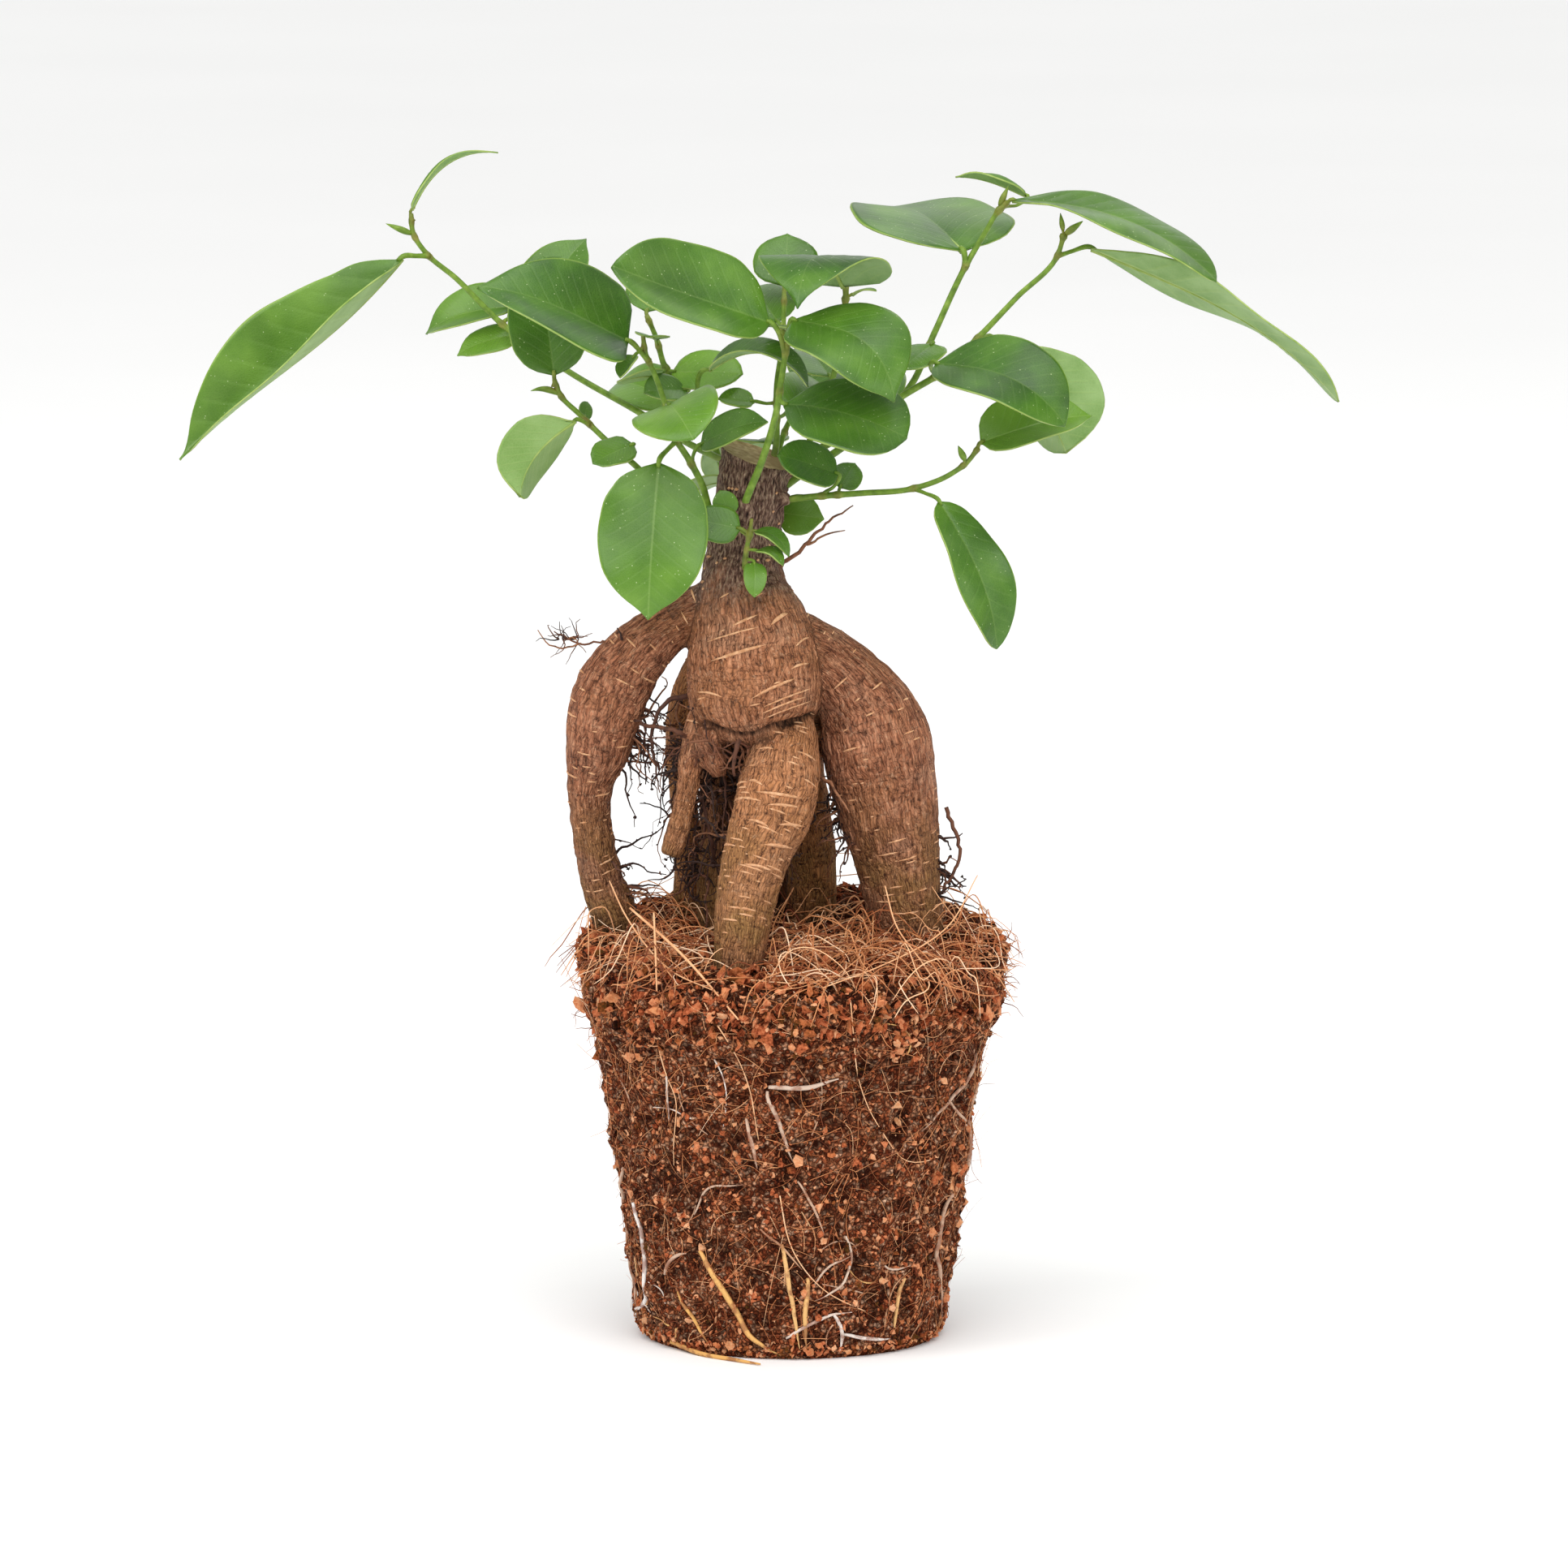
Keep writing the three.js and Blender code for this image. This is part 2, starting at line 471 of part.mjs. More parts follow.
// A leaf blade: a thin folded sheet whose two faces have the same triangles, with its rib raised below
function blade({ base, tip, face, width, fold = 0, arch = 0, full = FULLEST }) {
  const start = vector(base);
  const chord = vector(tip).sub(start);
  const length = chord.length();
  const up = vector(face).addScaledVector(chord, -vector(face).dot(chord) / length ** 2).normalize();
  const kept = STATIONS.find(({ longest }) => length < longest).kept;
  const shift = Math.log(full) / Math.log(FULLEST);
  const outline = kept.map((i) => [OUTLINE[i][0] ** shift, OUTLINE[i][1]]);
  const columns = [-1, 0, 1];
  const lift = THREE.MathUtils.degToRad(fold);
  const points = { top: [], under: [] };
  outline.forEach(([share, spread]) => {
    const rise = arch * length * 4 * share * (1 - share);
    const slope = arch * length * 4 * (1 - 2 * share);
    const tangent = chord.clone().addScaledVector(up, slope).normalize();
    const side = tangent.clone().cross(up).normalize();
    const normal = side.clone().cross(tangent);
    const rib = start.clone().addScaledVector(chord, share).addScaledVector(up, rise);
    columns.forEach((column) => {
      const reach = (column * spread * width) / 2;
      const point = rib.clone().addScaledVector(side, reach * Math.cos(lift));
      point.addScaledVector(normal, Math.abs(reach) * Math.sin(lift));
      const depth = LEAF_THICKNESS / Math.max(Math.cos(lift), 0.6) + (column ? 0 : RIB_HEIGHT * (1 - share));
      points.top.push(point);
      points.under.push(point.clone().addScaledVector(normal, -depth));
    });
  });
  const wide = columns.length;
  const rows = outline.length;
  const under = wide * rows;
  const faces = [];
  for (let r = 0; r < rows - 1; r++)
    for (let c = 0; c < wide - 1; c++) {
      const [a, b, d, e] = [r * wide + c, r * wide + c + 1, (r + 1) * wide + c, (r + 1) * wide + c + 1];
      faces.push(a, b, e, a, e, d);
      faces.push(under + a, under + e, under + b, under + a, under + d, under + e);
    }
  const border = [
    ...columns.map((_, c) => c),
    ...outline.slice(1).map((_, r) => (r + 1) * wide + wide - 1),
    ...columns.slice(1).map((_, c) => (rows - 1) * wide + wide - 2 - c),
    ...outline.slice(1, -1).map((_, r) => (rows - 2 - r) * wide),
  ];
  border.forEach((a, i) => {
    const b = border[(i + 1) % border.length];
    faces.push(a, under + a, b, b, under + a, under + b);
  });
  const geometry = new THREE.BufferGeometry().setFromPoints([...points.top, ...points.under]);
  geometry.setIndex(faces);
  const solid = solidOf(geometry);
  return solid;
}

// The stalk from the stem to the blade, its end sunk in the blade's rib
function petiole({ at, base, tip }) {
  const [from, to, end] = [at, base, tip].map(vector);
  const sunk = to.clone().lerp(end, Math.min(0.08, 1.5 / to.distanceTo(end)));
  const stations = [from, to, sunk].map((point) => [...point.toArray(), PETIOLE_RADIUS]);
  return taperedTube(stations, { sides: 4 });
}

const leafyShoot = (shoot) => join([stemTube(shoot), ...shoot.leaves.flatMap((one) => [petiole(one), blade(one)])]);

// The root stock: trunk, swollen roots and rootlets in one body, sawn off at the top, with a socket for each shoot
function rootStock() {
  const roots = Object.keys(ROOTS).map((name) => rootTube(name));
  const rootlets = ROOTLETS.map((stations) => taperedTube(stations, { sides: 4 }));
  const saw = new THREE.BoxGeometry(60, 60, 30).translate(0, 0, 15);
  saw.applyQuaternion(new THREE.Quaternion().setFromUnitVectors(vector([0, 0, 1]), vector(CUT.normal).normalize()));
  saw.translate(...CUT.through);
  const sockets = Object.values(SHOOTS).map((shoot) => stemTube(shoot, CLEARANCE));
  return largest(join([...roots, ...rootlets]).subtract(join([solidOf(saw), ...sockets])));
}

// The height of the soil's top and the crumbs on every side are formulas of the place
const crumbs = (x, y, z) =>
  0.5 * Math.sin(0.61 * x + 1.3 * Math.sin(0.35 * z)) +
  0.45 * Math.sin(0.83 * y + 0.27 * z + 1.7 * Math.sin(0.3 * x)) +
  0.35 * Math.sin(0.97 * z + 0.4 * x - 0.5 * y);

function plugOutline() {
  const { baseRadius, baseBevel, grooveHeight, grooveRadius, collarHeight, collarRadius, rimHeight, rimRadius } = PLUG;
  const side = [0.2, 0.4, 0.6, 0.8].map((share) => [
    mix(baseRadius, grooveRadius, share),
    mix(baseBevel, grooveHeight, share),
  ]);
  const top = [0.97, 0.84, 0.66, 0.46, 0.24].map((share) => [rimRadius * share, SOIL_TOP]);
  return [
    [0, 0],
    [baseRadius * 0.6, 0],
    [baseRadius - baseBevel, 0],
    [baseRadius, baseBevel],
    ...side,
    [grooveRadius, grooveHeight],
    [collarRadius, collarHeight],
    [mix(collarRadius, rimRadius, 0.5), mix(collarHeight, rimHeight, 0.5)],
    [rimRadius, rimHeight - 2],
    ...top,
    [0, SOIL_TOP],
  ];
}

function plug() {
  const profile = plugOutline().map(([radius, height]) => new THREE.Vector2(radius, height));
  const geometry = new THREE.LatheGeometry(profile, PLUG.sides).rotateX(Math.PI / 2);
  const position = geometry.attributes.position;
  for (let i = 0; i < position.count; i++) {
    const [x, y, z] = [position.getX(i), position.getY(i), position.getZ(i)];
    const radius = Math.hypot(x, y);
    const share = THREE.MathUtils.clamp((z - 1) / 6, 0, 1); // the base stays flat
    const swell = radius > 1 ? 1 + (share * crumbs(x, y, z)) / radius : 1;
    const raised = z >= PLUG.collarHeight ? (z - PLUG.collarHeight) / (SOIL_TOP - PLUG.collarHeight) : 0;
    const height = z + raised * (SOIL_SLOPE * y + (z === SOIL_TOP ? crumbs(y, x, radius) : 0));
    position.setXYZ(i, x * swell, y * swell, height);
  }
  return solidOf(geometry);
}

const soilHeight = (y) => SOIL_TOP + SOIL_SLOPE * y;

// Coir fibres that arch over the top of the soil, both ends sunk in it
function fibres() {
  const draw = draws(7);
  return Array.from({ length: FIBRE.count }, (_, i) => {
    const outward = Math.sqrt(mix(0.06, 0.92, draw())) * PLUG.rimRadius;
    const round = (i * 2.4) % (2 * Math.PI);
    const heading = draw() * Math.PI * 2;
    const half = mix(FIBRE.shortest, FIBRE.longest, draw()) / 2;
    const bow = mix(-6, 6, draw());
    const stations = [-1, -0.55, 0, 0.55, 1].map((share) => {
      const away = share * half;
      const bent = bow * (1 - share * share);
      const x = outward * Math.cos(round) + away * Math.cos(heading) - bent * Math.sin(heading);
      const y = outward * Math.sin(round) + away * Math.sin(heading) + bent * Math.cos(heading);
      const inside = Math.min(1, (PLUG.rimRadius - 2) / Math.hypot(x, y));
      const rise = FIBRE.rise * (1 - share * share) * (0.3 + draw()) - 1.2 * share * share;
      return [x * inside, y * inside, soilHeight(y * inside) + rise, FIBRE.radius];
    });
    return taperedTube(stations, { sides: 3 });
  });
}

// Pale roots that run down the sides, half sunk in the coir
function threads() {
  return THREADS.map(({ angle, from, to, turn, sway }) => {
    const stations = [0, 0.25, 0.5, 0.75, 1].map((share) => {
      const height = mix(from, to, share);
      const radius = mix(PLUG.baseRadius, PLUG.grooveRadius, height / PLUG.grooveHeight) + 0.5;
      const degrees = angle + turn * share + sway * Math.sin(7 * share + angle);
      const round = THREE.MathUtils.degToRad(degrees);
      return [radius * Math.cos(round), radius * Math.sin(round), height, mix(THREAD_RADIUS, 0.4, share)];
    });
    return taperedTube(stations, { sides: 3 });
  });
}

function rootBall() {
  const holes = STANDING.map((name) => rootTube(name, CLEARANCE));
  return largest(join([plug(), ...fibres(), ...threads()]).subtract(join(holes)));
}

// Materials
const MATERIALS = {
  bark: new THREE.MeshStandardMaterial({ color: 0x84583a, roughness: 0.8, metalness: 0 }),
  coir: new THREE.MeshStandardMaterial({ color: 0x7c3f22, roughness: 0.95, metalness: 0 }),
  leaf: new THREE.MeshStandardMaterial({ color: 0x3d7d22, roughness: 0.4, metalness: 0 }),
};

function piece(name, solid, material) {
  const mesh = new THREE.Mesh(geometryOf(solid), MATERIALS[material]);
  mesh.name = name;
  return mesh;
}

const bonsai = new THREE.Group();
bonsai.add(piece("root_ball", rootBall(), "coir"));
bonsai.add(piece("root_stock", rootStock(), "bark"));
for (const [name, shoot] of Object.entries(SHOOTS)) bonsai.add(piece("shoot_" + name, leafyShoot(shoot), "leaf"));

export default bonsai;
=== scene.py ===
# %% [markdown]
# # A ginseng ficus lifted out of its pot
# The plant is three things: a swollen root stock with a sawn trunk, twelve leafy shoots that grow from
# it, and the pot-shaped ball of coir that its roots stand in. The packed CAD part fixes where each of
# them is and how big it is. This script dresses that part: it grows finer forms around the same centre
# lines and gives them bark, wax and fibre. Tables are in millimetres, as in the part's source. Blender's
# own unit is the metre.

# %% Load the packed part
import math
from contextlib import contextmanager
from itertools import product

import bpy
import numpy as np
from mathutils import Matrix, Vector
from mathutils.bvhtree import BVHTree


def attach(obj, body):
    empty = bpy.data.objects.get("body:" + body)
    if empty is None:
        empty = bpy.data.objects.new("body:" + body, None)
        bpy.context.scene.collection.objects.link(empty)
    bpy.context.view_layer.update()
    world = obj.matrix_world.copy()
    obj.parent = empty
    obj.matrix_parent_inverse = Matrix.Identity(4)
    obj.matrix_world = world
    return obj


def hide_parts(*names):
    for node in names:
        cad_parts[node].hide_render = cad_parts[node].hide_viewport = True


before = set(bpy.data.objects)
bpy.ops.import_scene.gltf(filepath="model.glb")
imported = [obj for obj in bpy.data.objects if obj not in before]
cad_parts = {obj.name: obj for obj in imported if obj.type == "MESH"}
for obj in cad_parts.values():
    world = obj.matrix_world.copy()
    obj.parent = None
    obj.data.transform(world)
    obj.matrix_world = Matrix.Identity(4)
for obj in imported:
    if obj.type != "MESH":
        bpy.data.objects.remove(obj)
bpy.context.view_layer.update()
MM = 0.001

# %% [markdown]
# ## Helpers for meshes
# An operator acts on whatever is selected, so each helper first selects one object alone. Points are read
# and written as one array, because a leaf or a root is shaped by a formula of each point's place.


# %% Select, shape and finish
def only(obj):
    """Selects this object alone"""
    bpy.ops.object.select_all(action="DESELECT")
    obj.select_set(True)
    bpy.context.view_layer.objects.active = obj


@contextmanager
def editing(obj):
    """Edit mode with everything selected, for the operators that follow in the `with` block"""
    only(obj)
    bpy.ops.object.mode_set(mode="EDIT")
    bpy.ops.mesh.select_all(action="SELECT")
    yield
    bpy.ops.object.mode_set(mode="OBJECT")


def linked(name, data):
    """A new object in the scene that shows this data"""
    obj = bpy.data.objects.new(name, data)
    bpy.context.scene.collection.objects.link(obj)
    return obj


def clothe(obj, materials):
    """Gives the object a slot for each material"""
    for material in materials:
        obj.data.materials.append(material)


def points_of(obj):
    """The mesh's points in millimetres"""
    flat = np.empty(len(obj.data.vertices) * 3, np.float32)
    obj.data.vertices.foreach_get("co", flat)
    return flat.reshape(-1, 3).astype(float) / MM


def place_points(obj, points):
    """Moves the mesh's points to these places, given in millimetres"""
    obj.data.vertices.foreach_set("co", (np.asarray(points) * MM).astype(np.float32).ravel())
    obj.data.update()


def normals_of(obj):
    """The direction that faces outwards at each point"""
    flat = np.empty(len(obj.data.vertices) * 3, np.float32)
    obj.data.vertex_normals.foreach_get("vector", flat)
    return flat.reshape(-1, 3).astype(float)


def paint(obj, name, values):
    """Keeps a number, or a vector, at each point, for the materials to read"""
    values = np.asarray(values, np.float32)
    kind, key = ("FLOAT", "value") if values.ndim == 1 else ("FLOAT_VECTOR", "vector")
    layer = obj.data.attributes.get(name) or obj.data.attributes.new(name, kind, "POINT")
    layer.data.foreach_set(key, values.ravel())


def modify(obj, kind, **settings):
    """Adds a modifier, sets it and applies it"""
    only(obj)
    modifier = obj.modifiers.new(kind.lower(), kind)
    for name, value in settings.items():
        setattr(modifier, name, value)
    bpy.ops.object.modifier_apply(modifier=modifier.name)


def joined(name, objects):
    """Several meshes as one object"""
    bpy.ops.object.select_all(action="DESELECT")
    for obj in objects:
        obj.select_set(True)
    bpy.context.view_layer.objects.active = objects[0]
    if len(objects) > 1:
        bpy.ops.object.join()
    objects[0].name = name
    return objects[0]


def triangles(obj):
    """How many triangles the mesh has"""
    return sum(len(face.vertices) - 2 for face in obj.data.polygons)


def smooth(obj):
    """Smooth shading all over"""
    obj.data.polygons.foreach_set("use_smooth", np.ones(len(obj.data.polygons), bool))


print("CAD nodes selected at the start:", len(bpy.context.selected_objects))


# %% Curves through a table's stations
def eased(places, values, at):
    """A smooth curve through the values at their places, read where `at` asks"""
    places, values, at = (np.asarray(row, float) for row in (places, values, at))
    slopes = np.gradient(values, places)
    i = np.clip(np.searchsorted(places, at, side="right") - 1, 0, len(places) - 2)
    gap = places[i + 1] - places[i]
    t = np.clip((at - places[i]) / gap, 0, 1)
    rising = values[i] * (1 + 2 * t) * (1 - t) ** 2 + slopes[i] * gap * t * (1 - t) ** 2
    return rising + values[i + 1] * t * t * (3 - 2 * t) - slopes[i + 1] * gap * t * t * (1 - t)


def smooth_path(stations, step=1.5):
    """Points about every `step` millimetres along a smooth curve through stations of x, y, z and radius"""
    rows = np.array(stations, float)
    gaps = np.linalg.norm(np.diff(rows[:, :3], axis=0), axis=1)
    knots = np.concatenate([[0], np.cumsum(gaps)])
    at = np.linspace(0, knots[-1], max(3, int(knots[-1] / step) + 1))
    return np.stack([eased(knots, column, at) for column in rows.T], axis=1)


def unit(vectors):
    """Vectors of length 1"""
    vectors = np.asarray(vectors, float)
    return vectors / np.maximum(np.linalg.norm(vectors, axis=-1, keepdims=True), 1e-9)


def threads(name, paths, roundness=0):
    """Round threads along paths of x, y, z and radius. A curve's bevel gives each its thickness, and the
    curve is then made a mesh whose ends are filled. Also says how many points each thread has."""
    curve = bpy.data.curves.new(name, "CURVE")
    curve.dimensions = "3D"
    curve.bevel_depth = MM  # so that a point's radius is in millimetres
    curve.bevel_resolution = roundness
    for path in paths:
        spline = curve.splines.new("POLY")
        spline.points.add(len(path) - 1)
        places = np.c_[np.asarray(path)[:, :3] * MM, np.ones(len(path))]
        spline.points.foreach_set("co", places.astype(np.float32).ravel())
        spline.points.foreach_set("radius", np.asarray(path)[:, 3].astype(np.float32))
    only(linked(name, curve))
    bpy.ops.object.convert(target="MESH")
    obj = bpy.context.view_layer.objects.active
    with editing(obj):
        bpy.ops.mesh.fill_holes(sides=0)
    smooth(obj)
    ring = len(obj.data.vertices) // sum(len(path) for path in paths)
    return obj, [len(path) * ring for path in paths]


halfway = smooth_path([(0, 0, 0, 1), (3, 0, 0, 2), (6, 3, 0, 1)])[2]
print("a path's third point and its radius:", halfway.round(2))


# %% Noise: the same lumps each time
def noise(points, seed=0):
    """Soft lumps between -1 and 1, about one to each unit of length"""
    table = np.random.default_rng(seed).uniform(-1, 1, 4096)
    corner = np.floor(points).astype(np.int64)
    part = points - corner
    part = part * part * (3 - 2 * part)
    total = np.zeros(len(points))
    for step in product((0, 1), repeat=3):
        cell = corner + step
        index = (cell[:, 0] * 73856093 ^ cell[:, 1] * 19349663 ^ cell[:, 2] * 83492791) & 4095
        total += table[index] * np.where(np.array(step) == 1, part, 1 - part).prod(axis=1)
    return total


def ramp(values, low, high):
    """0 below `low`, 1 above `high` and a soft step between"""
    t = np.clip((values - low) / (high - low), 0, 1)
    return t * t * (3 - 2 * t)


print("noise at two places:", noise(np.array([[0.2, 0.4, 0.6], [7.0, 8.5, 9.5]])).round(2))

# %% [markdown]
# ## Shader maths as plain sums
# A material's colour varies through masks, and masks are arithmetic. Wiring Math nodes by hand hides
# that, so a wire here stands for one socket and knows how to add, multiply and compare itself: `1 - mask`
# adds a Subtract node. Every other node comes from one method of its tree, which sets the node up before
# it feeds its sockets.


# %% A wire
def colour(code):
    """The colour behind a code such as 3f7012, in the linear values that shaders use"""
    parts = [int(code[i : i + 2], 16) / 255 for i in (0, 2, 4)]
    linear = [c / 12.92 if c <= 0.04045 else ((c + 0.055) / 1.055) ** 2.4 for c in parts]
    return (*linear, 1.0)


class Wire:
    """One output socket, to be used as a number in a sum"""

    def __init__(self, nodes, socket):
        self.nodes = nodes
        self.socket = socket

    def maths(self, operation, *values):
        return self.nodes.node("Math", {"operation": operation}, *values)

    def __add__(self, other):
        return self.maths("ADD", self, other)

    def __radd__(self, other):
        return self.maths("ADD", other, self)

    def __sub__(self, other):
        return self.maths("SUBTRACT", self, other)

    def __rsub__(self, other):
        return self.maths("SUBTRACT", other, self)

    def __mul__(self, other):
        return self.maths("MULTIPLY", self, other)

    def __rmul__(self, other):
        return self.maths("MULTIPLY", other, self)

    def __abs__(self):
        return self.maths("ABSOLUTE", self)

    def __gt__(self, other):
        return self.maths("GREATER_THAN", self, other)

    def ramp(self, low, high):
        """0 below `low`, 1 above `high` and a soft step between"""
        return self.nodes.node("MapRange", {"interpolation_type": "SMOOTHSTEP"}, self, low, high, 0.0, 1.0)


print("the green of a leaf, linear:", [round(part, 3) for part in colour("38640f")])


# %% A tree of nodes
class Nodes:
    """A tree of nodes, with one method that adds every kind of node"""

    def __init__(self, tree):
        self.tree = tree

    def feed(self, socket, value):
        if isinstance(value, Wire):
            self.tree.links.new(value.socket, socket)
        else:
            socket.default_value = colour(value) if isinstance(value, str) else value

    def node(self, kind, settings=None, *inputs, out=None, **named):
        """Adds a node, sets it up, and then feeds its sockets in their order or by name"""
        made = self.tree.nodes.new("ShaderNode" + kind)
        for name, value in (settings or {}).items():
            if name == "stops":
                self.set_stops(made.color_ramp, value)
            else:
                setattr(made, name, value)
        sockets = [socket for socket in made.inputs if socket.enabled]
        for socket, value in zip(sockets, inputs):
            self.feed(socket, value)
        for name, value in named.items():
            self.feed(made.inputs[name.replace("_", " ")], value)
        outputs = [socket for socket in made.outputs if socket.enabled]
        return Wire(self, made.outputs[out] if out else outputs[0])

    def set_stops(self, ramp_of_colours, stops):
        elements = ramp_of_colours.elements
        while len(elements) < len(stops):
            elements.new(0.5)
        for element, (place, code) in zip(elements, stops):
            element.position = place
            element.color = colour(code)


print("methods that every tree has:", [name for name in vars(Nodes) if not name.startswith("_")])


# %% A finish
class Finish(Nodes):
    """A material with one Principled shader, whose fixed values are given by name"""

    def __init__(self, name, **fixed):
        self.material = bpy.data.materials.new(name)
        self.material.use_nodes = True
        super().__init__(self.material.node_tree)
        self.shader = self.tree.nodes["Principled BSDF"]
        for socket, value in fixed.items():
            self.shader.inputs[socket.replace("_", " ")].default_value = value

    def colours(self, amount, *stops):
        """A colour for each amount, blended between the stops"""
        return self.node("ValToRGB", {"stops": stops}, amount)

    def blend(self, amount, under, over):
        return self.node("Mix", {"data_type": "RGBA"}, amount, under, over)

    def number(self, name):
        """The number that a piece keeps at each point under this name"""
        return self.node("Attribute", {"attribute_name": name}, out="Fac")

    def vector(self, name):
        return self.node("Attribute", {"attribute_name": name}, out="Vector")

    def parts(self, vector):
        """The three numbers of a vector"""
        split = self.node("SeparateXYZ", None, vector).socket.node
        return [Wire(self, socket) for socket in split.outputs]

    def place(self):
        return self.node("TexCoord", out="Object")

    def lumps(self, vector, scale, detail=2.0, stretch=(1, 1, 1)):
        """Noise from 0 to 1. `scale` is how many lumps there are to a unit of length."""
        turned = self.node("VectorMath", {"operation": "MULTIPLY"}, vector, stretch)
        return self.node("TexNoise", None, Vector=turned, Scale=scale, Detail=detail)

    def finish(self, base, roughness=None, height=None, depth=0.0, strength=1.0):
        """Feeds the shader. `depth` is the height of the bump in metres."""
        self.feed(self.shader.inputs["Base Color"], base)
        if roughness is not None:
            self.feed(self.shader.inputs["Roughness"], roughness)
        if height is not None:
            bump = self.node("Bump", None, Strength=strength, Distance=depth, Height=height)
            self.feed(self.shader.inputs["Normal"], bump)
        return self.material


print("and those of a finish:", [name for name in vars(Finish) if not name.startswith("_")])

# %% [markdown]
# ## Leaves: wax above, sage below
# A ficus leaf is leathery. Its upper side is glossy green with a pale midrib, faint side veins that lean
# towards the tip and pale specks. Its underside is paler and duller, and a thin yellow line runs round
# its margin. Each blade carries a vector called `blade`: how far along the leaf a point is, how far from
# the midrib, both in lengths of the leaf, and how near the margin. Veins are drawn from it, so they
# follow each leaf however it bends.


# %% Leaf finishes
VEINS = 11.0  # side veins on each half, to a leaf's length
LEAN, STRAIGHTEN = 0.85, 0.5  # how the side veins lean towards the tip, and straighten near the margin
STAGGER = 0.45  # how far the veins of one half lie from the other's, in gaps between veins


def vein_masks(finish):
    """How near the margin a place is, and where the midrib and the side veins are"""
    along, across, edge = finish.parts(finish.vector("blade"))
    away = abs(across)
    lean = along - away * LEAN + away * away * STRAIGHTEN
    paired = lean * VEINS + (across > 0) * STAGGER
    gap = abs(finish.node("Math", {"operation": "FRACT"}, paired) - 0.5)
    side = (1 - gap.ramp(0.0, 0.16)) * (1 - edge.ramp(0.7, 0.97)) * along.ramp(0.02, 0.1)
    midrib = 1 - (away + along * 0.004).ramp(0.004, 0.013)
    return edge, midrib, side


def leaf_upper():
    """Glossy green with a pale midrib, faint veins, pale specks and a yellow margin"""
    finish = Finish("leaf_upper", Coat_Weight=0.42, Coat_Roughness=0.28, Specular_IOR_Level=0.25)
    edge, midrib, side = vein_masks(finish)
    place = finish.place()
    youth = finish.number("youth")
    cloud = finish.lumps(place, 70, 3.0)
    grown = finish.colours(cloud, (0.32, "244b09"), (0.5, "38640f"), (0.7, "4f791d"))
    young = finish.colours(cloud, (0.32, "59871b"), (0.7, "78a136"))
    green = finish.blend(youth, grown, young)
    mottle = finish.lumps(place, 42, 2.5).ramp(0.48, 0.7)
    green = finish.blend(mottle * (0.5 - 0.35 * youth), green, "2a4a0b")
    net = finish.node("TexVoronoi", {"feature": "DISTANCE_TO_EDGE"}, Vector=place, Scale=1500)
    green = finish.blend((1 - net.ramp(0.0, 0.12)) * 0.06, green, "8fb05a")
    green = finish.blend(side * 0.05, green, "94b565")
    green = finish.blend(midrib * (0.08 + 0.18 * youth), green, "a9c373")
    specks = finish.node("TexVoronoi", {"feature": "F1"}, Vector=place, Scale=680)
    chosen = finish.lumps(place, 400, 0.0).ramp(0.43, 0.48)
    green = finish.blend((1 - specks.ramp(0.06, 0.13)) * chosen * 0.65, green, "c8d8a2")
    green = finish.blend(edge.ramp(0.965, 0.99) * 0.55, green, "93b24a")
    height = net.ramp(0.0, 0.3) * 0.25 - side * 0.6 + cloud * 1.5
    return finish.finish(green, 0.34 + 0.2 * cloud, height, 0.00016, 0.7)


def leaf_under():
    """Duller and paler than the upper side, with clearer veins"""
    finish = Finish("leaf_under", Specular_IOR_Level=0.3)
    _, midrib, side = vein_masks(finish)
    place = finish.place()
    cloud = finish.lumps(place, 110, 3.0)
    sage = finish.colours(cloud, (0.3, "6f9352"), (0.7, "98b67b"))
    sage = finish.blend(finish.number("youth") * 0.45, sage, "8cb04a")
    net = finish.node("TexVoronoi", {"feature": "DISTANCE_TO_EDGE"}, Vector=place, Scale=1300)
    sage = finish.blend((1 - net.ramp(0.0, 0.15)) * 0.15, sage, "a7bf80")
    sage = finish.blend(side * 0.3, sage, "98b468")
    sage = finish.blend(midrib * 0.8, sage, "b2c684")
    return finish.finish(sage, 0.5 + 0.15 * cloud, side * 0.8 + net.ramp(0.0, 0.3) * 0.2, 0.00015, 0.5)


def leaf_margin():
    finish = Finish("leaf_margin", Roughness=0.45)
    cloud = finish.lumps(finish.place(), 300, 2.0)
    return finish.finish(finish.colours(cloud, (0.3, "7f9c3e"), (0.7, "a5b766")))


def green_stem():
    """Green bark that reddens at the nodes and the growing tip"""
    finish = Finish("green_stem", Specular_IOR_Level=0.4)
    place = finish.place()
    streaks = finish.lumps(place, 500, 3.0)
    green = finish.colours(streaks, (0.25, "4f6d17"), (0.55, "6d8d28"), (0.8, "8ca545"))
    brown = finish.colours(streaks, (0.3, "6b4a26"), (0.7, "96703f"))
    mixed = finish.blend(finish.number("blush").ramp(0.15, 0.9), green, brown)
    return finish.finish(mixed, 0.42 + 0.15 * streaks, streaks, 0.0002, 0.4)


LEAF_FINISHES = [leaf_upper(), leaf_under(), leaf_margin(), green_stem()]
MARGIN_SLOT, STEM_SLOT = 2, 3
print("leaf finishes:", [material.name for material in LEAF_FINISHES])
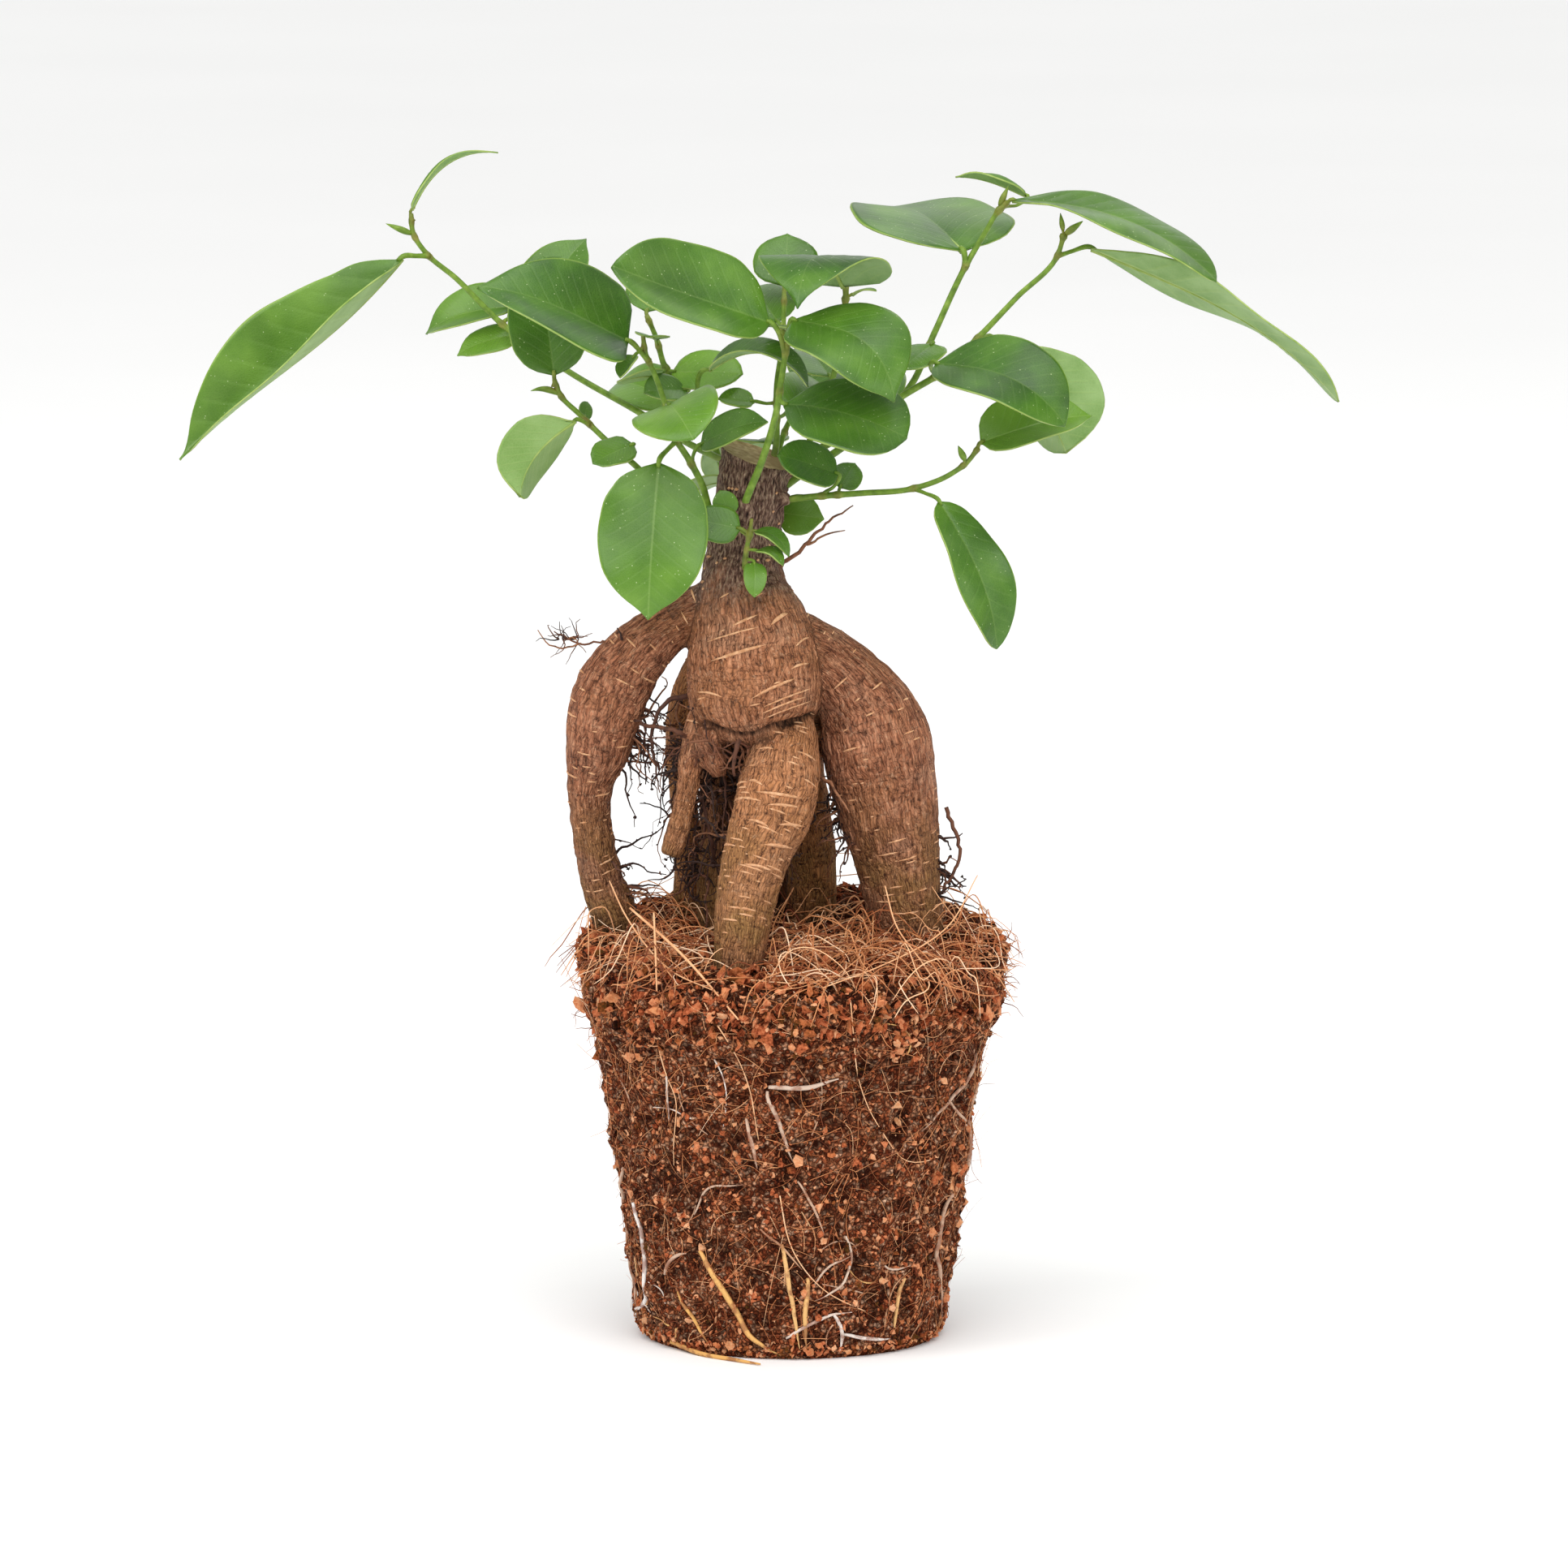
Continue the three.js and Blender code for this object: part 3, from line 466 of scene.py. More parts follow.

# %% [markdown]
# ## Bark, cut wood and dead roots
# The roots have thin warm-brown skin with fine wrinkles that run along them, an olive tint near the soil
# and pale, slightly raised bars across them, the lenticels that they breathe through. The neck is dark
# and rough, and the saw has left a tan face on top. A wrinkle has to follow its root, so the bark reads
# `grain`: a place on the root's own skin in millimetres, round it and along it. Three masks come with it:
# painted shade in the hollows, the deep fold and the space between the roots, with a darker band at the
# soil line; the olive foot; and the dark neck. Some roots are also painted lighter, partly for their own
# paler skin and partly as painted light on the roots that lie in shade.


# %% Bark finishes
def bark_finish():
    """Brown skin whose colours, cracks and folds are laid one over another, up to the rough dark neck"""
    finish = Finish("root_bark", Specular_IOR_Level=0.2)
    grain = finish.vector("grain")
    hollow_shade_and_soil_line, foot, neck = finish.parts(finish.vector("weather"))
    place = finish.place()
    drift = finish.node("TexNoise", None, Vector=grain, Scale=0.14, Detail=3.0, out="Color")
    wavy = finish.node("VectorMath", {"operation": "MULTIPLY_ADD"}, drift, (4.0, 4.0, 4.0), grain)

    def cells(scale, stretch):
        """How far a place is from the cracks between wrinkles that are drawn out along the root"""
        drawn = finish.node("VectorMath", {"operation": "MULTIPLY"}, wavy, stretch)
        return finish.node("TexVoronoi", {"feature": "DISTANCE_TO_EDGE"}, Vector=drawn, Scale=scale)

    fine, coarse = cells(1.45, (1, 1, 0.2)), cells(0.6, (1, 1, 0.14))
    folds = finish.lumps(wavy, 0.8, 3.0, (0.35, 0.35, 1.5))
    tone = finish.lumps(grain, 1.2, 4.0, (1, 1, 0.25))
    patches = finish.lumps(place, 80, 4.0)
    flakes = finish.lumps(place, 800, 3.0)
    skin = finish.colours(tone, (0.3, "7c4931"), (0.44, "9e6447"), (0.56, "b77b5b"), (0.72, "cf9573"))
    skin = finish.blend(patches.ramp(0.45, 0.7) * 0.45, skin, "9a6540")
    skin = finish.blend((1 - patches.ramp(0.3, 0.48)) * 0.3, skin, "b8947a")
    # Paler skin mixed with painted light: the middle and back roots, which lie in shade, are lightened most
    skin = finish.blend(finish.number("fair") * 0.4, skin, "d9975f")
    skin = finish.blend(flakes.ramp(0.58, 0.7) * 0.3, skin, "dcb796")
    skin = finish.blend(foot * (0.2 + 0.8 * patches.ramp(0.35, 0.6)), skin, "95723f")
    crack = (1 - fine.ramp(0.0, 0.11)) * 0.8 + (1 - coarse.ramp(0.0, 0.045)) * 0.5
    crack = crack + folds.ramp(0.54, 0.66) * 0.3
    skin = finish.blend(crack * (0.55 + 0.45 * tone.ramp(0.6, 0.4)), skin, "4a2a1b")
    rough = finish.lumps(grain, 1.5, 5.0, (1, 1, 0.4))
    dark = finish.colours(rough, (0.32, "33201a"), (0.46, "6c5043"), (0.58, "9a7d6a"), (0.74, "c4aa91"))
    skin = finish.blend(neck, skin, dark)
    # Painted shade: the hollows, the fold and the space between the roots go near black, and the bark is
    # darker near the soil line
    skin = finish.blend(hollow_shade_and_soil_line * (0.7 + 0.3 * tone.ramp(0.6, 0.4)), skin, "24130c")
    height = fine.ramp(0.0, 0.3) * 0.5 + coarse.ramp(0.0, 0.2) * 0.6 + tone * 0.4
    height = height + rough * (0.2 + 1.2 * neck) - folds.ramp(0.5, 0.66) * 0.4
    return finish.finish(skin, 0.7 + 0.2 * tone, height, 0.0009, 0.9)


def lenticel_finish():
    finish = Finish("lenticel_cork")
    cork = finish.lumps(finish.place(), 900, 3.0)
    return finish.finish(finish.colours(cork, (0.3, "b87e52"), (0.7, "e4b48a")), 0.85, cork, 0.0001, 0.5)


def cut_wood():
    finish = Finish("cut_wood")
    place = finish.place()
    fibre = finish.lumps(place, 700, 4.0)
    blotch = finish.lumps(place, 160, 3.0)
    wood = finish.colours(fibre, (0.3, "9a7a52"), (0.7, "cdb088"))
    wood = finish.blend(blotch.ramp(0.45, 0.7) * 0.7, wood, "8b6b48")
    return finish.finish(wood, 0.8, fibre, 0.0003, 0.6)


def dead_root():
    finish = Finish("dead_root")
    place = finish.place()
    tint = finish.number("tint")
    soil = finish.lumps(place, 600, 3.0)
    root = finish.colours(tint, (0.0, "1c0e09"), (0.55, "40241a"), (0.85, "75472f"), (1.0, "9a6848"))
    root = finish.blend(soil.ramp(0.5, 0.68) * 0.6, root, "23120c")
    return finish.finish(root, 0.85, soil, 0.0002, 0.5)


BARK_FINISHES = [bark_finish(), cut_wood()]
LENTICEL_CORK = lenticel_finish()
DEAD_ROOT = dead_root()
print("bark finishes:", [material.name for material in BARK_FINISHES + [LENTICEL_CORK, DEAD_ROOT]])

# %% [markdown]
# ## Coir and living roots
# Coir is ground coconut husk: red-brown crumbs of a millimetre or two with gaps between them, held
# together by wiry tan fibres. The shade in the gaps and hollows is painted near black. Crumbs and fibres
# each carry a `tint` of their own, so that neighbours differ.


# %% Coir finishes
def coir_bed():
    """Cells of a crumb's size, each of its own tone, with painted shade, near black, in the gaps and
    hollows
    """
    finish = Finish("coir_bed", Specular_IOR_Level=0.05)
    place = finish.place()
    sunk = finish.number("sunk")
    drift = finish.node("TexNoise", None, Vector=place, Scale=900, Detail=2.0, out="Color")
    shift = (0.0009, 0.0009, 0.0009)
    ragged = finish.node("VectorMath", {"operation": "MULTIPLY_ADD"}, drift, shift, place)
    tones = finish.node("TexVoronoi", {"feature": "F1"}, Vector=ragged, Scale=900, out="Color")
    gaps = finish.node("TexVoronoi", {"feature": "DISTANCE_TO_EDGE"}, Vector=ragged, Scale=900)
    grit = finish.lumps(place, 1500, 4.0)
    tone = finish.parts(tones)[0] * 0.75 + grit * 0.5 - 0.07
    bed = finish.colours(
        tone, (0.0, "4c2110"), (0.25, "8a4227"), (0.5, "ba6741"), (0.75, "e0986e"), (1.0, "f8cbaa")
    )
    # Painted shade: the gaps between the crumb cells go near black
    bed = finish.blend((1 - gaps.ramp(0.02, 0.25)) * 0.85, bed, "200a04")
    # Painted shade in the hollows and on the top of the soil
    bed = finish.blend(sunk * 0.85, bed, "240d07")
    return finish.finish(bed, 0.9, gaps.ramp(0.0, 0.4) + 0.6 * grit, 0.0009, 0.9)


def coir_crumb():
    finish = Finish("coir_crumb", Specular_IOR_Level=0.05)
    tint = finish.number("tint")
    grit = finish.lumps(finish.place(), 1300, 4.0)
    tone = tint + 0.9 * grit - 0.45
    crumb = finish.colours(
        tone, (0.0, "1c0a06"), (0.2, "622a16"), (0.45, "b3603c"), (0.7, "cf8259"), (0.9, "d9986d"),
        (1.0, "dfa981"),
    )
    ochre = finish.lumps(finish.place(), 170, 1.0).ramp(0.5, 0.62)
    crumb = finish.blend(ochre * 0.15, crumb, "b98440")
    return finish.finish(crumb, 0.9, grit, 0.0004, 0.8)


def coir_fibre():
    finish = Finish("coir_fibre", Specular_IOR_Level=0.35)
    tint = finish.number("tint")
    streak = finish.lumps(finish.place(), 350, 2.0)
    tone = tint + 0.4 * streak - 0.2
    fibre = finish.colours(
        tone, (0.0, "6a2f16"), (0.3, "a85f34"), (0.6, "d8935f"), (0.85, "f3be8f"), (1.0, "fbd8b6")
    )
    return finish.finish(fibre, 0.6)


def living_root():
    finish = Finish("living_root", Specular_IOR_Level=0.35)
    tint = finish.number("tint")
    dust = finish.lumps(finish.place(), 350, 4.0)
    root = finish.colours(
        tint, (0.0, "dca452"), (0.3, "e0b174"), (0.6, "bf9474"), (0.85, "cfb6a2"), (1.0, "ece6e0")
    )
    root = finish.blend(dust.ramp(0.46, 0.62) * 0.7, root, "8a4c2e")
    return finish.finish(root, 0.65, dust, 0.0002, 0.5)


COIR_BED = coir_bed()
COIR_CRUMB = coir_crumb()
COIR_FIBRE = coir_fibre()
LIVING_ROOT = living_root()
print("coir finishes:", [finish.name for finish in (COIR_BED, COIR_CRUMB, COIR_FIBRE, LIVING_ROOT)])


# %% What every piece of the plant says about itself
def settle(obj, materials, replaces=None):
    """Gives a finished piece its materials and its body, and hides the CAD node it stands for"""
    if len(obj.data.materials) == 0:
        clothe(obj, materials)
    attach(obj, "root")
    if replaces:
        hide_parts(replaces)
    print(f"{obj.name}: {triangles(obj)} triangles")


# %% [markdown]
# ## Shoots
# Each shoot is a green stem with leaves set alternately along it. Its table is the part's own, but for a
# few leaves that were set against the photograph. It has the stem's stations and its radii at both
# ends, and for every leaf the place `at` where its stalk leaves the stem, the blade from `base` to `tip`,
# the way its upper side faces, its width, how far its halves fold up and how far it arches. The rest
# makes each leaf an individual: how near the stalk it is `full`, how `blunt` its tip is, how far it lifts
# or sinks on the way (`droop`), how much its margin waves, how far it bends to one side and its `youth`,
# which makes it lighter. A blade narrower than BUD is not a leaf yet but the rolled, pointed bud at the
# end of a shoot.

# %% The shoots' tables
BUD = 3.0


def a_leaf(at, base, tip, face, width, **shape):
    """One leaf's row of the table"""
    return dict(at=at, base=base, tip=tip, face=face, width=width, **shape)


SHOOTS = {
    "left_long": {
        "radii": (1.3, 0.8),
        "stem": [
            (-13, 4, 226), (-19, 9, 228), (-28, 14, 232), (-38, 18, 238), (-58, 24, 249),
            (-75, 26, 261), (-87, 26, 273), (-95, 25, 280), (-98, 24, 285), (-98.5, 24, 290),
        ],
        "leaves": [
            a_leaf((-94, 25, 279), (-101, 20, 279), (-158, 0, 229), (-0.45, -0.6, 0.6), 31, fold=54,
                   full=0.48, blunt=0.05, droop=0.04, wave=3, bend=-0.06, youth=0.45),
            a_leaf((-98, 24, 288), (-98.5, 24, 291), (-76, 29, 305.5), (-0.6, 0, 0.8), 3.2, fold=45,
                   arch=0.16, full=0.3, blunt=0.2),
            a_leaf((-97.5, 24, 284), (-98.5, 24, 284.8), (-105, 23, 287.5), (0, 0, 1), 2.2),
            a_leaf((-75, 26, 261), (-72, 35, 265), (-95.5, 41, 257), (-0.25, -0.55, 0.8), 16, fold=25,
                   arch=0.08, blunt=0.1, youth=0.4),
            a_leaf((-66, 25, 254.7), (-71, 31, 258), (-87, 30, 252.5), (-0.1, -0.6, 0.75), 10, fold=10,
                   arch=0.05, blunt=0.2, youth=1.0),
            a_leaf((-60, 24, 250), (-70, 34, 259), (-53.5, 46, 281.5), (-0.3, -0.8, 0.3), 18, fold=18,
                   arch=0.04, blunt=0.1),
            a_leaf((-71, 25.8, 258.2), (-73, 28.5, 264), (-60, 32, 278), (-0.5, -0.8, 0.3), 11),
        ],
    },
    "left_low": {
        "radii": (1.3, 0.8),
        "stem": [
            (-15, -1, 205), (-22, -4, 210), (-34, -8, 221), (-39, -9, 227), (-46, -8, 233),
            (-54.5, -6, 241), (-59.5, -5, 246), (-61, -5, 250),
        ],
        "leaves": [
            a_leaf((-61, -5, 248), (-61, -5, 251), (-64, 2, 281), (0, -1, -0.1), 21, fold=18),
            a_leaf((-52, -7, 238.5), (-55.5, -10, 240), (-70, -15, 220.5), (-0.6, 0.75, 0.3), 21, fold=26,
                   arch=0.14, full=0.55, wave=2.6, youth=0.8),
            a_leaf((-53, -7, 239.5), (-53.2, -5, 240), (-52.5, 1, 243.5), (0.5, -0.5, 0.5), 4),
            a_leaf((-59, -5, 245.6), (-60, -5, 246.2), (-67, -6, 247), (0, 0, 1), 2.2, arch=0.12),
            a_leaf((-43, -8.4, 230.6), (-40.5, -11, 234), (-51, -16, 229.5), (-0.3, -0.7, 0.65), 10.5,
                   fold=12, blunt=1, wave=2, youth=0.5),
        ],
    },
    "left_front": {
        "radii": (1.4, 0.8),
        "stem": [
            (-16, -4, 209), (-20.5, -7, 215), (-23, -8, 223), (-26.5, -10, 230), (-29.5, -12, 235),
            (-32.5, -14, 245), (-35, -14, 252), (-37.5, -14, 258), (-38, -14, 262),
        ],
        "leaves": [
            a_leaf((-36.5, -14, 255.5), (-41.5, -16, 261), (-80, -24, 276), (0.1, -0.62, 0.78), 31,
                   fold=20, arch=0.03, full=0.28, blunt=0.3, youth=0.1),
            a_leaf((-38, -14.2, 259), (-40, -17, 257.5), (-44, -21, 252), (-0.6, -0.6, 0.5), 6, fold=25),
            a_leaf((-29.5, -12, 235), (-34, -20, 230), (-36.7, -27, 190.3), (-0.05, -1, 0.12), 28, fold=5,
                   arch=0.04, full=0.44, blunt=0.05, wave=2.2, youth=0.5),
            a_leaf((-32, -13.8, 243.5), (-31.5, -17.5, 245), (-25, -37, 238), (-0.3, -0.4, 0.85), 23,
                   fold=10, arch=0.1, blunt=0.8, youth=0.85),
            a_leaf((-25.8, -9.7, 228.6), (-23.5, -4, 233), (-6, -9.5, 239.5), (-0.1, -0.6, 0.8), 12.5,
                   fold=12, arch=0.05, blunt=0.2, youth=0.3),
        ],
    },
    "front_centre": {
        "radii": (1.5, 0.9),
        "stem": [
            (-12, -5, 213), (-12.2, -10, 217), (-7.5, -14, 230), (-4, -16, 242), (-2.7, -17, 250),
            (-1.5, -17, 258), (-1, -17, 261),
        ],
        "leaves": [
            a_leaf((-1.5, -17, 258), (-5.3, -19, 266), (-45.8, -31, 281.5), (0.1, -0.67, 0.74), 30.5,
                   fold=22, arch=0, full=0.45, blunt=0.6, droop=0, youth=0.12),
            a_leaf((-1, -17, 260), (0.5, -20, 267), (26.3, -36.5, 247.6), (0.2, -0.65, 0.7), 28, fold=5,
                   arch=0.08, full=0.44, blunt=0.1, droop=0.1, bend=-0.1, youth=0.2),
            a_leaf((-3, -16.8, 248), (-2, -20, 245.3), (29.5, -31, 237.5), (0.1, -0.62, 0.78), 27, fold=5,
                   arch=0.08, full=0.52, blunt=1, droop=0.01, youth=0.1),
        ],
    },
    "middle_back": {
        "radii": (1.3, 0.8),
        "stem": [
            (-6, 3, 224), (-4, 8, 231), (-3.8, 10, 238), (-3.8, 12, 246), (-2.5, 14, 256),
            (-2, 15, 263), (-1.8, 17, 272),
        ],
        "leaves": [
            a_leaf((-3.8, 11, 242), (-9.5, 11.5, 242.5), (-19, 11, 243.3), (0, -0.5, 0.85), 8, fold=15,
                   youth=0.9),
            a_leaf((-2.1, 14.8, 261), (-1.5, 11, 262), (4, -7, 263), (0, -0.2, 1), 14, fold=10),
            a_leaf((-1.9, 16, 268), (-1.8, 18, 272), (-1, 28, 284.5), (0, -0.9, 0.4), 17),
            a_leaf((-2.2, 14.5, 259), (-3.5, 19, 262.5), (-14, 38, 268), (0, -0.3, 0.95), 17, fold=12,
                   arch=0.1),
            a_leaf((-3.9, 10, 238), (0, 17, 240), (11, 38, 242), (0.1, -0.5, 0.85), 18, fold=14, arch=0.1,
                   youth=0.9),
        ],
    },
    "top_centre": {
        "radii": (1.3, 0.8),
        "stem": [
            (-6, 2, 221), (2, 6, 227), (6, 8, 236), (10.5, 8, 248), (12.6, 6, 259), (14, 4, 270),
            (14.3, 3.5, 273),
        ],
        "leaves": [
            a_leaf((14, 4, 269.5), (13.4, 1.5, 273.5), (1.3, -27, 270.5), (-0.12, -0.2, 0.97), 34,
                   arch=0.32, full=0.3, blunt=0),
            a_leaf((14, 4, 270), (15.5, 3.5, 271), (22, 1, 272.3), (0, 0, 1), 4.5, arch=0.12),
            a_leaf((10.2, 8, 247), (10, 14, 249), (4, 30, 254), (0, -0.4, 0.9), 14, fold=10),
        ],
    },
    "right_tall": {
        "radii": (1.5, 0.8),
        "stem": [
            (-7, 3, 217), (0, 8, 222), (14, 12, 231), (24, 13, 239), (30.5, 12, 246), (37, 14, 260),
            (45, 16, 277), (50.5, 16, 286.5), (53.5, 15, 291.5), (56, 14, 294),
        ],
        "leaves": [
            a_leaf((45, 16, 277), (44.3, 15.5, 281.5), (26, 45, 290), (0.16, -0.26, 0.95), 44, fold=6,
                   arch=0.06, wave=1.8, youth=0.2),
            a_leaf((55.5, 14.2, 293.4), (57, 12.5, 294.8), (109, -13, 276), (0.2, -0.3, 0.93), 18,
                   fold=10, arch=0.085, full=0.5, blunt=0.9, wave=1.5, youth=0.2),
            a_leaf((54, 14.8, 292), (61, 22, 295), (42.5, 25, 299.6), (0, 0.1, 1), 8, fold=30, arch=0.04,
                   blunt=0.1),
            a_leaf((53.5, 15, 291.5), (53.8, 14.8, 293), (56, 14, 298), (-1, 0, 0.3), 2.2),
            a_leaf((35.5, 13.5, 256.5), (36.5, 8, 258), (29, -5, 252.5), (-0.3, -0.6, 0.7), 13,
                   blunt=0.9),
            a_leaf((20, 12.6, 236), (20, 18, 240), (20, 44, 246), (0.1, -0.1, 1), 19, fold=12, arch=0.1),
        ],
    },
    "right_long": {
        "radii": (1.5, 0.8),
        "stem": [
            (-6, 0, 224.5), (1, 1, 228), (14, 2, 235), (29, 3, 245), (39, 4, 251), (48.5, 5, 260),
            (58, 5, 270), (68.5, 4, 281), (70.2, 4, 286.5),
        ],
        "leaves": [
            a_leaf((68.5, 4, 281), (77.5, 8, 282.7), (141, -6, 244.4), (0.35, 0.36, 0.85), 24, fold=8,
                   arch=0.04, full=0.52, blunt=0.95, wave=2, youth=0.3),
            a_leaf((48, 5, 259.5), (52, 11, 259), (71.5, 12, 229), (0.6, 0.75, 0.25), 33, fold=28,
                   arch=0.03, full=0.62, blunt=0.9, youth=0.4),
            a_leaf((37, 3.8, 250), (37, -7, 254.5), (70, -25, 240), (0.1, -0.6, 0.8), 26, fold=14,
                   arch=0.1, full=0.46, blunt=0.5, droop=0.07, youth=0.0),
            a_leaf((70, 4, 286), (70.5, 4, 286.5), (75, 3, 290), (-0.5, 0, 0.6), 2.4),
            a_leaf((70, 4, 286), (69.9, 4, 287.5), (69.2, 3.5, 292), (0.8, 0, 0.2), 1.8),
        ],
    },
    "right_low": {
        "radii": (1.3, 0.8),
        "stem": [
            (-7, -2, 217.5), (-1, -4, 218.7), (7, -6, 219.8), (18, -8, 220.8), (31.5, -10, 222.3),
            (41, -10, 226), (45.5, -9, 229.3), (48, -8, 232.5),
        ],
        "leaves": [
            a_leaf((47.7, -8.1, 232), (48.6, -8, 234), (77.5, 0, 240), (-0.1, -0.75, 0.65), 18, fold=30,
                   arch=0.05, full=0.36, blunt=0.1, youth=0.95),
            a_leaf((31.5, -10, 222.3), (38, -15, 219.5), (52.8, -21, 182), (0.6, -0.75, 0.25), 16.5,
                   fold=12, arch=0.07, full=0.42, blunt=0.9, wave=2.4, youth=0.15),
            a_leaf((44, -9.3, 228.3), (44.5, -10, 229.7), (42.8, -11, 233.4), (1, 0, 0.4), 2.4),
            a_leaf((12, -7, 220.2), (12.5, -5, 222), (16.5, 2, 227.5), (0.3, -0.5, 0.8), 8),
            a_leaf((8, -6.2, 219.9), (12.2, -9, 226), (-3.6, -14, 231.3), (0.1, -0.75, 0.65), 13, fold=10,
                   blunt=0.9, youth=0.15),
        ],
    },
    "front_low": {
        "radii": (1, 0.6),
        "stem": [
            (-12, -6, 201), (-12, -13, 203), (-11.5, -14, 207), (-10.5, -14.5, 212),
            (-10.2, -14.5, 215),
        ],
        "leaves": [
            a_leaf((-10.6, -14.5, 211.5), (-9.5, -15, 212), (-0.5, -18, 205.5), (0.3, -0.5, 0.8), 5.5,
                   fold=12, arch=0.2),
            a_leaf((-11.5, -14, 207), (-9, -16, 207), (-2, -20, 203.5), (0.3, -0.4, 0.85), 5, fold=10,
                   arch=0.2),
            a_leaf((-11.8, -13.4, 204.5), (-9.5, -16.5, 204), (-9.5, -22, 195.5), (0.1, -0.9, 0.5), 6,
                   fold=10, arch=0.1),
            a_leaf((-10.7, -14.4, 211), (-13, -15, 212.5), (-26, -15, 215), (0, -0.9, 0.4), 10, fold=5),
            a_leaf((-10.9, -14.3, 210), (-15.8, -12.3, 215.5), (-18.5, -12, 222), (0, -0.9, 0.4), 6.5),
        ],
    },
    "back_left": {
        "radii": (1.4, 0.8),
        "stem": [
            (-12, 4, 216), (-16, 11, 221), (-22.5, 17, 236), (-33, 20, 251), (-35, 20, 258),
            (-37.5, 20, 264),
        ],
        "leaves": [
            a_leaf((-34.5, 20, 256), (-35, 17, 258.5), (-37, 5, 260), (0, -0.4, 0.9), 9, fold=12,
                   blunt=0.9),
            a_leaf((-32.5, 20, 250), (-34, 16, 249.5), (-45, 9, 248), (0, 0.4, 0.9), 12),
            a_leaf((-32.5, 20, 250), (-31, 19, 249.5), (-12.5, 14, 249.5), (0, -0.6, 0.8), 15, fold=8,
                   blunt=0.9, youth=1.0),
            a_leaf((-28, 18.8, 244.4), (-27, 12, 245.5), (-38, 5, 245.5), (0.1, -0.6, 0.8), 11, fold=14),
            a_leaf((-23, 17.2, 236.8), (-21.5, 4.5, 251.5), (4.5, 0, 247.5), (0, -0.2, 1), 14, fold=22,
                   arch=0.25, blunt=0.9),
            a_leaf((-24, 17.6, 238.5), (-30, 22, 240.5), (-46, 38, 244), (-0.1, -0.65, 0.75), 16, fold=12,
                   arch=0.1, blunt=0.9, youth=1.0),
            a_leaf((-37, 20, 262.5), (-37.5, 23, 265), (-30, 44, 268), (0, -0.2, 0.95), 17, fold=12,
                   arch=0.12),
        ],
    },
    "back_right": {
        "radii": (1.4, 0.8),
        "stem": [
            (-8, 4, 212), (-6, 10, 217), (-4, 20, 226), (0, 30, 236), (5, 38, 240),
        ],
        "leaves": [
            a_leaf((4.5, 37.2, 239.7), (7, 41, 240), (21, 57, 230), (0.3, 0.2, 0.9), 18, fold=10,
                   arch=0.12),
            a_leaf((-1.5, 26.5, 232.6), (-4, 31, 230), (-20, 52, 216), (-0.3, 0.4, 0.85), 20, fold=8,
                   arch=0.14),
            a_leaf((-5.8, 11, 218), (-3, 8, 214), (8.5, 6, 212.5), (0, -0.9, 0.35), 11, fold=6, blunt=0.1,
                   youth=1.0),
            a_leaf((-5.4, 13, 219.7), (-12, 20, 221), (-30, 30, 212), (-0.2, 0.3, 0.9), 15, fold=8,
                   arch=0.12),
            a_leaf((4, 36.5, 239), (5, 41, 243), (8, 62, 250), (0, -0.4, 0.9), 15, fold=14, arch=0.1),
        ],
    },
}
print("shoots:", len(SHOOTS), "leaves:", sum(len(shoot["leaves"]) for shoot in SHOOTS.values()))

# %% [markdown]
# ## A leaf blade
# A flat grid is the start of every blade, because its rows and columns are what a leaf has: rows run from
# the stalk to the tip, columns from the midrib to the margins. The columns crowd together near the
# midrib, where the groove is, and near the margin, where the edge curls. Each point then moves to its
# place on the folded, arched and waved surface. Solidify gives the sheet its thickness, its paler
# underside and its yellow rim.

# %% The outline of a leaf
FULLEST = 0.4
POINTED = [
    (0, 0.05), (0.02, 0.27), (0.05, 0.5), (0.16, 0.84), (0.34, 1), (0.54, 0.98), (0.72, 0.79),
    (0.86, 0.44), (0.93, 0.18), (0.97, 0.07), (1, 0.01),
]
BLUNT = [
    (0, 0.05), (0.02, 0.3), (0.05, 0.5), (0.16, 0.84), (0.34, 1), (0.54, 1), (0.72, 0.9), (0.86, 0.68),
    (0.94, 0.43), (0.98, 0.2), (1, 0.01),
]
BLADE = 0.42  # thickness
GROOVE = 0.3  # depth of the groove over the midrib
QUILTING = 0.0058  # height of the quilting between side veins, to a leaf's length
WIDE_COLUMNS = [0, 0.025, 0.07, 0.15, 0.28, 0.42, 0.56, 0.7, 0.83, 0.93, 1]
NARROW_COLUMNS = [0, 0.06, 0.2, 0.42, 0.66, 0.86, 1]
SMALL_LEAF = 24  # a leaf shorter than this has the narrow set of columns


def blade_frame(leaf, share):
    """The rib and the three directions of a leaf at each share of its length"""
    base, tip, face = (np.array(leaf[key], float) for key in ("base", "tip", "face"))
    chord = tip - base
    length = np.linalg.norm(chord)
    up = unit(face - chord * (face @ chord) / length**2)
    arch = leaf.get("arch", 0) * length * 4
    share = np.asarray(share)[:, None]
    rib = base + chord * share + up * arch * share * (1 - share)
    tangent = unit(chord + up * arch * (1 - 2 * share))
    side = unit(np.cross(tangent, up))
    return rib, tangent, side, np.cross(side, tangent), length


print("columns of a large leaf:", 2 * len(WIDE_COLUMNS) - 1, "of a small one:", 2 * len(NARROW_COLUMNS) - 1)


